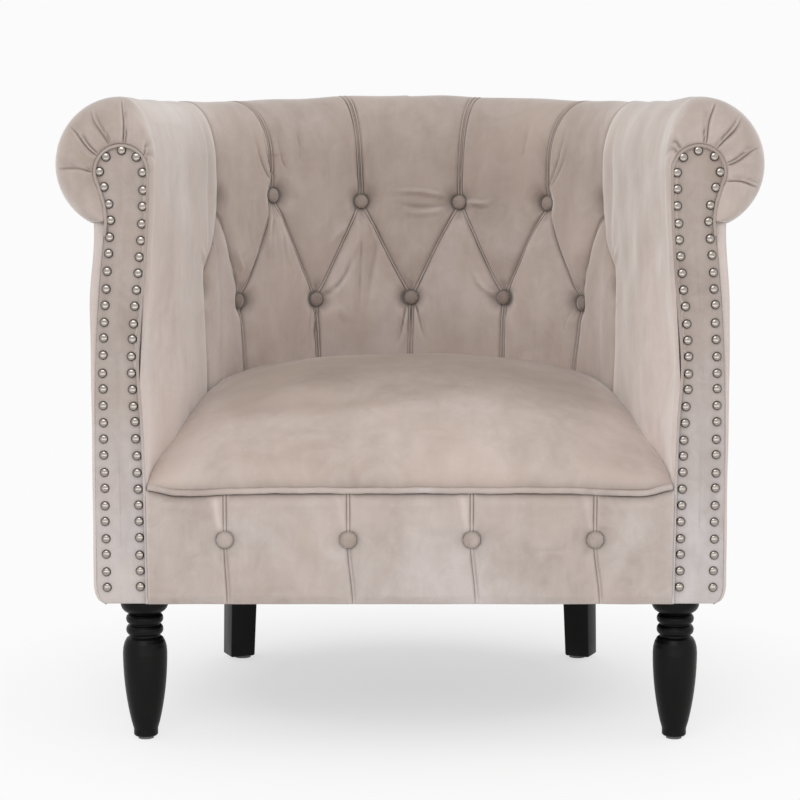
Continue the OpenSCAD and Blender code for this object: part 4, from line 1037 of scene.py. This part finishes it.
def dressPanel(side, hand):
    # rings drawn in from the outline, rising in a shallow crown to the middle line
    outline = panelLoop(0.0, 260)
    level = outline[:, 1]
    centreX = np.where(level > neckZ, panel["headX"], 0.5 * (innerX(level) + outerX(level)))
    centreZ = np.clip(level, bottomZ + 0.02, panel["headZ"])
    rim, middle = [0, 0.02, 0.05], [0.38, 0.44, 0.52, 0.62, 0.8, 0.994]
    share = np.concatenate([rim, np.linspace(0.09, 0.33, 7), middle])[:, None]
    x = mix(outline[None, :, 0], centreX[None], share)
    z = mix(outline[None, :, 1], centreZ[None], share)
    crown = panel["puff"] * np.sqrt(np.clip(1 - (1 - np.clip(share * 1.25, 0, 1)) ** 2, 0, 1))
    y = frontY + 0.0028 - crown
    y = y - 0.0003 * rippleField(51 + side, 8, 0.03, 0.1, x, z) * np.clip(share * 4, 0, 1)
    # the cloth is drawn in round each nail
    for nx, nz in nailPlaces(side):
        y = y + 0.0016 * bell(np.hypot(x - nx, z - nz), 0.0085)
    front = points(side * x, y, z)
    edge = front[:1].copy()
    edge[..., 1] = frontY + panel["thick"]
    ring = np.concatenate([edge, front], 0)
    obj = makeGrid(f"scrollPanel{hand}", ring, flip=side < 0)
    return finishPiece(obj, velvetPanel, [f"scroll_panel_{hand.lower()}"])


panelCord = {"inset": 0.0006, "out": 0.0014, "radius": 0.0017, "steps": 330, "shown": 201, "sides": 10}


def dressPanelCord(side, hand):
    # a tube along the first part of the panel's edge, up to just past the neck on the outer side
    x, z = panelLoop(panelCord["inset"], panelCord["steps"])[:panelCord["shown"]].T
    path = points(side * x, frontY - panelCord["out"], z)
    obj = makeTube(f"panelCord{hand}", path, panelCord["radius"], panelCord["sides"])
    return finishPiece(obj, velvetPanel, [f"panel_cord_{hand.lower()}"])


hands = {1: "Right", -1: "Left"}
for side, hand in hands.items():
    dressPanel(side, hand)
    dressPanelCord(side, hand)
    dressNails(side, hand)
print("panels made")


# Outside cover
def frontShare(d):  # 1 at the front corners, where the lower edge curls in further, 0 behind them
    return 1 - smooth((d - 0.008) / 0.036)


outside = {"offset": 0.0335, "thick": 0.0018, "rows": 60, "cols": 260, "turnIn": 0.004}


def frontReturn(corner, side):
    # round the front corner and back to the panel's outer edge, one column for each step
    x, y, z = corner.T[..., None]
    a = np.radians([25, 50, 75, 90])
    r = outside["turnIn"]
    bend = points(x - side * r * (1 - np.cos(a)), y - r * np.sin(a) * 1.1, z)
    f = np.array([0.35, 0.7, 1.0])
    edgeX = side * (outerX(z) - footCorner(z) + 0.0002)
    back = points(mix(bend[:, 3:, 0], edgeX, f), bend[:, 3:, 1] + 0.0012 * f, z)
    return np.concatenate([bend, back], 1)


def dressOutside():
    # a sheet at a fixed offset round the outside, turned in at the front to the panels' edges
    s = np.linspace(-1, 1, outside["cols"])[None]
    s = float(sOfDepth(0.006)) * np.sign(s) * (1 - (1 - np.abs(s)) ** 1.35)
    rise = np.linspace(0, 1, outside["rows"])[:, None]
    z = mix(bottomZ, rollZ(s) - 0.060, rise ** 1.25)
    s = s + 0 * z
    onArm = np.abs(s) > arcLength
    # the lower edge curls in, further and from higher up at the front corners
    nearFront = frontShare(depthOf(s)) * onArm
    curl = np.clip(1 - (z - bottomZ) / mix(0.004, panel["cornerHigh"], nearFront), 0, 1)
    n = outside["offset"] + 0.0003 * rippleField(61, 10, 0.08, 0.3, s, z)
    n = n - mix(0.004, panel["corner"], nearFront) * (1 - np.sqrt(1 - curl ** 2))
    # at the front it draws in towards the head
    n = n - 0.006 * smooth((z - 0.50) / 0.09) * (1 - smooth((depthOf(s) - 0.012) / 0.018)) * onArm
    skin = points(*planXY(s, n), z)
    skin = np.concatenate([frontReturn(skin[:, 0], -1)[:, ::-1], skin, frontReturn(skin[:, -1], 1)], 1)
    fold = np.zeros(skin.shape[:2])
    fold[:, :8] = fold[:, -8:] = -1.1  # the narrow strip beside the panels is painted light, for the sheen it catches
    inner = skin + gridNormals(skin) * outside["thick"]
    obj = makeGrid("outsideCover", np.concatenate([skin, inner[::-1]], 0), "rows")
    fold = np.concatenate([fold, fold * 0], 0)
    covered = ["outside_back", "outside_arm_left", "outside_arm_right"]
    return finishPiece(obj, velvetOutside, covered, fold)


dressOutside()
print("outside cover made")


# Dust cover
dust = {"rim": 0.0305, "drawn": 0.0065, "front": 0.0095, "z": 0.169, "sag": 0.0008, "half": 0.0004}


def dressDustCover():
    # a thin sheet over the bottom, sagging a little between its tacked edges; its outline runs
    # half round the back, along an arm and half across the front, and is mirrored
    turn = np.linspace(0, math.pi / 2 - splay, 24)
    depth = np.linspace(tubDepth, dust["front"], 40)[1:]
    x = np.concatenate([(arcR + dust["rim"]) * np.sin(turn),
                        armX(depth, dust["rim"] - dust["drawn"] * frontShare(depth))])
    y = np.concatenate([tubY + (arcR + dust["rim"]) * np.cos(turn), frontY + depth])
    across = np.linspace(0, 1, 12)[1:]
    x = np.concatenate([x, x[-1] * (1 - across)])
    y = np.concatenate([y, np.full(len(across), frontY + dust["front"])])
    x, y = np.concatenate([x, -x[-2:0:-1]]), np.concatenate([y, y[-2:0:-1]])
    share = np.linspace(0.002, 1, 14)[:, None]
    gx, gy = x * share, mix(-0.02, y, share)
    gz = dust["z"] - dust["sag"] * np.cos(share * math.pi / 2)
    low, high = (points(gx, gy, gz + up) for up in (-dust["half"], dust["half"]))
    obj = makeGrid("dustCover", np.concatenate([low, high[::-1]], 0))
    finishPiece(obj, dustCloth, ["dust_cover"])


dressDustCover()


# Rear legs
rearLeg = {"x": 0.22976, "y": 0.14808, "turn": 24, "top": 0.038, "foot": 0.034, "low": 0.0035,
           "high": 0.1697, "round": 0.0022, "lean": 0.005}


def dressRearLeg(side, hand):
    # a square with rounded corners, drawn in evenly from top to foot
    r = rearLeg["round"]
    a = np.radians(np.arange(0, 360, 15))
    corner = np.radians(np.repeat([45, 135, 225, 315], 6))
    signX, signY = np.sign(np.cos(corner)), np.sign(np.sin(corner))
    levels = np.array([0, 0.0015, 0.02, 0.06, 0.11, rearLeg["high"] - rearLeg["low"]])[:, None]
    half = mix(rearLeg["foot"], rearLeg["top"], levels / levels[-1]) / 2
    half = half - np.where(levels < 0.001, 0.0012, 0)
    x = signX * (half - r) + r * np.cos(a)
    y = signY * (half - r) + r * np.sin(a)
    turn = -side * math.radians(rearLeg["turn"])
    lean = rearLeg["lean"] * (1 - levels / levels[-1])
    px = side * (rearLeg["x"] + lean) + x * math.cos(turn) - y * math.sin(turn)
    py = rearLeg["y"] + x * math.sin(turn) + y * math.cos(turn)
    obj = makeGrid(f"rearLeg{hand}", points(px, py, rearLeg["low"] + levels))
    return finishPiece(obj, lacquer, [f"rear_leg_{hand.lower()}"])


for side, hand in hands.items():
    dressRearLeg(side, hand)
print("legs made")

# Stage, light and camera
stage = {"floorSize": 40.0, "albedo": 0.93, "white": 0.965, "lit": 0.72,
         "near": 0.20, "far": 0.64, "kept": 0.60}


def stageMaterial():
    # a pale floor that keeps the chair's shadow and runs out into the white background
    g = newMaterial("paleFloor")
    patch = g.noise(1.2, 2, 0.5)
    low, high = stage["albedo"] - 0.01, stage["albedo"] + 0.01
    g.set(Base_Color=g.blend(g.span(patch, 0.3, 0.7), [low] * 3, [high] * 3),
          Roughness=0.9, Specular_IOR_Level=0.1)
    place = g.node("VectorMath", {"operation": "LENGTH"}, [g.place], "Value")
    share = g.span(place, stage["near"], stage["far"], stage["kept"], 1.0) * g.seenRays()
    glow = g.node("Emission", None, [(*[stage["white"]] * 3, 1), 1.0])
    shown = g.node("MixShader", None, [share, Signal(g, g.shader.outputs[0]), glow])
    g.tree.links.new(shown.socket, g.tree.nodes["Material Output"].inputs[0])
    return g.material


bpy.ops.mesh.primitive_plane_add(size=stage["floorSize"], location=(0, 0, 0))
floor = bpy.context.object
floor.name = "floor"
floor.data.materials.append(stageMaterial())

# The world lights the chair evenly and shows the camera the floor's white
world = bpy.data.worlds.new("studio")
bpy.context.scene.world = world
sky = Graph(world, "Background")
sky.set(Color=(1, 1, 1, 1), Strength=sky.span(sky.seenRays(), 0, 1, stage["lit"], stage["white"]))


def addSoftbox(name, place, aim, size, power):  # a rectangular lamp that faces its aim
    lamp = bpy.data.lights.new(name, "AREA")
    lamp.shape, lamp.size, lamp.size_y, lamp.energy = "RECTANGLE", size[0], size[1], power
    holder = bpy.data.objects.new(name, lamp)
    bpy.context.collection.objects.link(holder)
    holder.location = place
    way = np.array(aim, float) - np.array(place, float)
    holder.rotation_euler = Vector(way).to_track_quat("-Z", "Y").to_euler()
    return holder


addSoftbox("keyLight", (-0.5, -2.8, 2.3), (0, -0.05, 0.4), (1.8, 1.4), 27)
addSoftbox("fillLight", (1.8, -2.2, 1.2), (0, 0, 0.4), (1.4, 1.8), 1.5)
addSoftbox("lowFill", (0, -1.95, 0.12), (0, -0.3, 0.34), (2.4, 0.3), 4.5)
addSoftbox("topLight", (0, 0.2, 3.0), (0, 0, 0.4), (2.6, 2.6), 8)

view = bpy.data.cameras.new("photoCamera")
viewer = bpy.data.objects.new("photoCamera", view)
bpy.context.collection.objects.link(viewer)
viewer.location = (0, frontY - 2.25, 0.611)
viewer.rotation_euler = (math.radians(90 - 5.37), 0, 0)
view.sensor_width, view.lens, view.shift_x = 36.0, 90.9, -0.0125
bpy.context.scene.camera = viewer
bpy.context.scene.view_settings.view_transform = "Standard"

print("scene ready")
